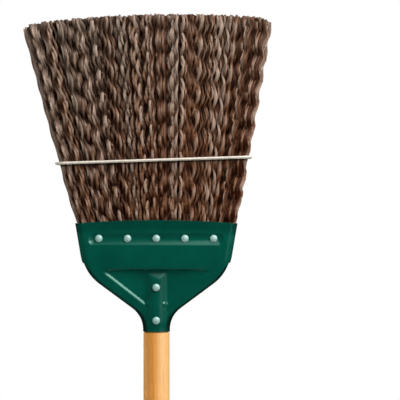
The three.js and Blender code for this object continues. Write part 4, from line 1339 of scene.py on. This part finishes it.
# %% Forge the blade
BLADE_CORNER = 0.7
CORNER_LIMIT = 0.8
CORNER_STEPS = 5
BLADE_SECTIONS = 60
BLADE_ROOT_HALF = 9.25
WAIST_HALF = 8.85
WAIST_AT = 22.0
FLARE_PULL = 55.0
FLARE_STEPS = 40
ROOT_HALF_THICKNESS = 2.0
TIP_HALF_THICKNESS = 1.2
EDGE_HALF_THICKNESS = 0.6
BEVEL_LENGTH = 2.5
BEVEL_SECTIONS = 4
BLADE_SHARP = 12

blade_low, blade_high = box_mm("chisel_blade")
BLADE_EDGE_HALF = (blade_high[0] - blade_low[0]) / 2
BLADE_LENGTH = socket_low[2] - blade_low[2]
TANG_LENGTH = blade_high[2] - socket_low[2]
BEVEL_AT = BLADE_LENGTH - BEVEL_LENGTH


def blade_half_width(down):
    """Half the blade's width at a distance below the socket's nose."""
    share = np.linspace(0, 1, FLARE_STEPS)
    flare_down = (1 - share) ** 2 * WAIST_AT + 2 * share * (1 - share) * FLARE_PULL + share**2 * BLADE_LENGTH
    flare_half = (1 - share**2) * WAIST_HALF + share**2 * BLADE_EDGE_HALF
    downs = np.concatenate([[-TANG_LENGTH, 0], flare_down])
    halves = np.concatenate([[BLADE_ROOT_HALF, BLADE_ROOT_HALF], flare_half])
    return np.interp(down, downs, halves)


def blade_half_thickness(down):
    """Half the blade's thickness at a distance below the socket's nose."""
    halves = [ROOT_HALF_THICKNESS, TIP_HALF_THICKNESS, EDGE_HALF_THICKNESS]
    return np.interp(down, [0, BEVEL_AT, BLADE_LENGTH], halves)


def blade_section(down):
    """One level section of the blade: a thin rectangle with rounded corners."""
    half, thick = blade_half_width(down), blade_half_thickness(down)
    ring = rounded_corners(half, thick, min(BLADE_CORNER, thick * CORNER_LIMIT), CORNER_STEPS).reshape(-1, 2)
    return np.column_stack([ring, np.full(len(ring), socket_low[2] - down)])


downs = np.concatenate([
    np.linspace(BLADE_LENGTH, BEVEL_AT, BEVEL_SECTIONS, endpoint=False),
    np.linspace(BEVEL_AT, -TANG_LENGTH, BLADE_SECTIONS),
])
blade_points = np.array([blade_section(down) for down in downs])
blade = make_piece("forged_blade", blade_points, tube_faces(*blade_points.shape[:2]), steel, BLADE_SHARP)
print("the blade has", len(downs), "sections")

# %% [markdown]
# The slot in the socket's nose is a little larger than the blade's root, so a dark line shows round the
# blade. A block of the slot's size is taken away from the socket with a boolean, and is then thrown away.

# %% Cut the slot
SLOT_GAP = 0.35

slot_half = BLADE_ROOT_HALF + SLOT_GAP
slot_half_depth = ROOT_HALF_THICKNESS + SLOT_GAP
slot_levels = (socket_low[2] - DOME_HEIGHT, blade_high[2] + SLOT_GAP)
slot_points = [four_corners(-slot_half, slot_half, slot_half_depth, level) for level in slot_levels]
cutter = make_piece("slot_cutter", slot_points, tube_faces(2, 4), steel)
cut = socket.modifiers.new("slot", "BOOLEAN")
cut.operation = "DIFFERENCE"
cut.object = cutter
bpy.context.view_layer.objects.active = socket
bpy.ops.object.modifier_apply(modifier=cut.name)
bpy.data.objects.remove(cutter)
socket.data.shade_smooth()
socket.data.set_sharp_from_angle(angle=math.radians(SHARP_EDGE))
hand_over(socket, "chisel_steel", "chisel_socket")
hand_over(blade, "chisel_steel", "chisel_blade")

# %% [markdown]
# ## Nail
# A short round-headed nail at the back pins the socket to the wood. It is plated like the rivets.

# %% Drive the nail
NAIL_HEAD_HEIGHT = 1.6
NAIL_HEAD_LIP = 0.25
NAIL_SHANK_RADIUS = 1.7
NAIL_POINT = 3.0
NAIL_POINT_RADIUS = 0.3

nail_low, nail_high = box_mm("socket_nail")
nail_seat = nail_high[1] - NAIL_HEAD_HEIGHT
nail_profile = [
    (NAIL_POINT_RADIUS, nail_low[1]),
    (NAIL_SHANK_RADIUS, nail_low[1] + NAIL_POINT),
    (NAIL_SHANK_RADIUS, nail_seat),
    *dome((nail_high[0] - nail_low[0]) / 2, nail_seat, nail_high[1], NAIL_HEAD_LIP),
]
nail = headed("driven_nail", nail_profile, centre_mm("socket_nail"), TOWARDS_BACK)
hand_over(nail, "rivet_steel", "socket_nail")
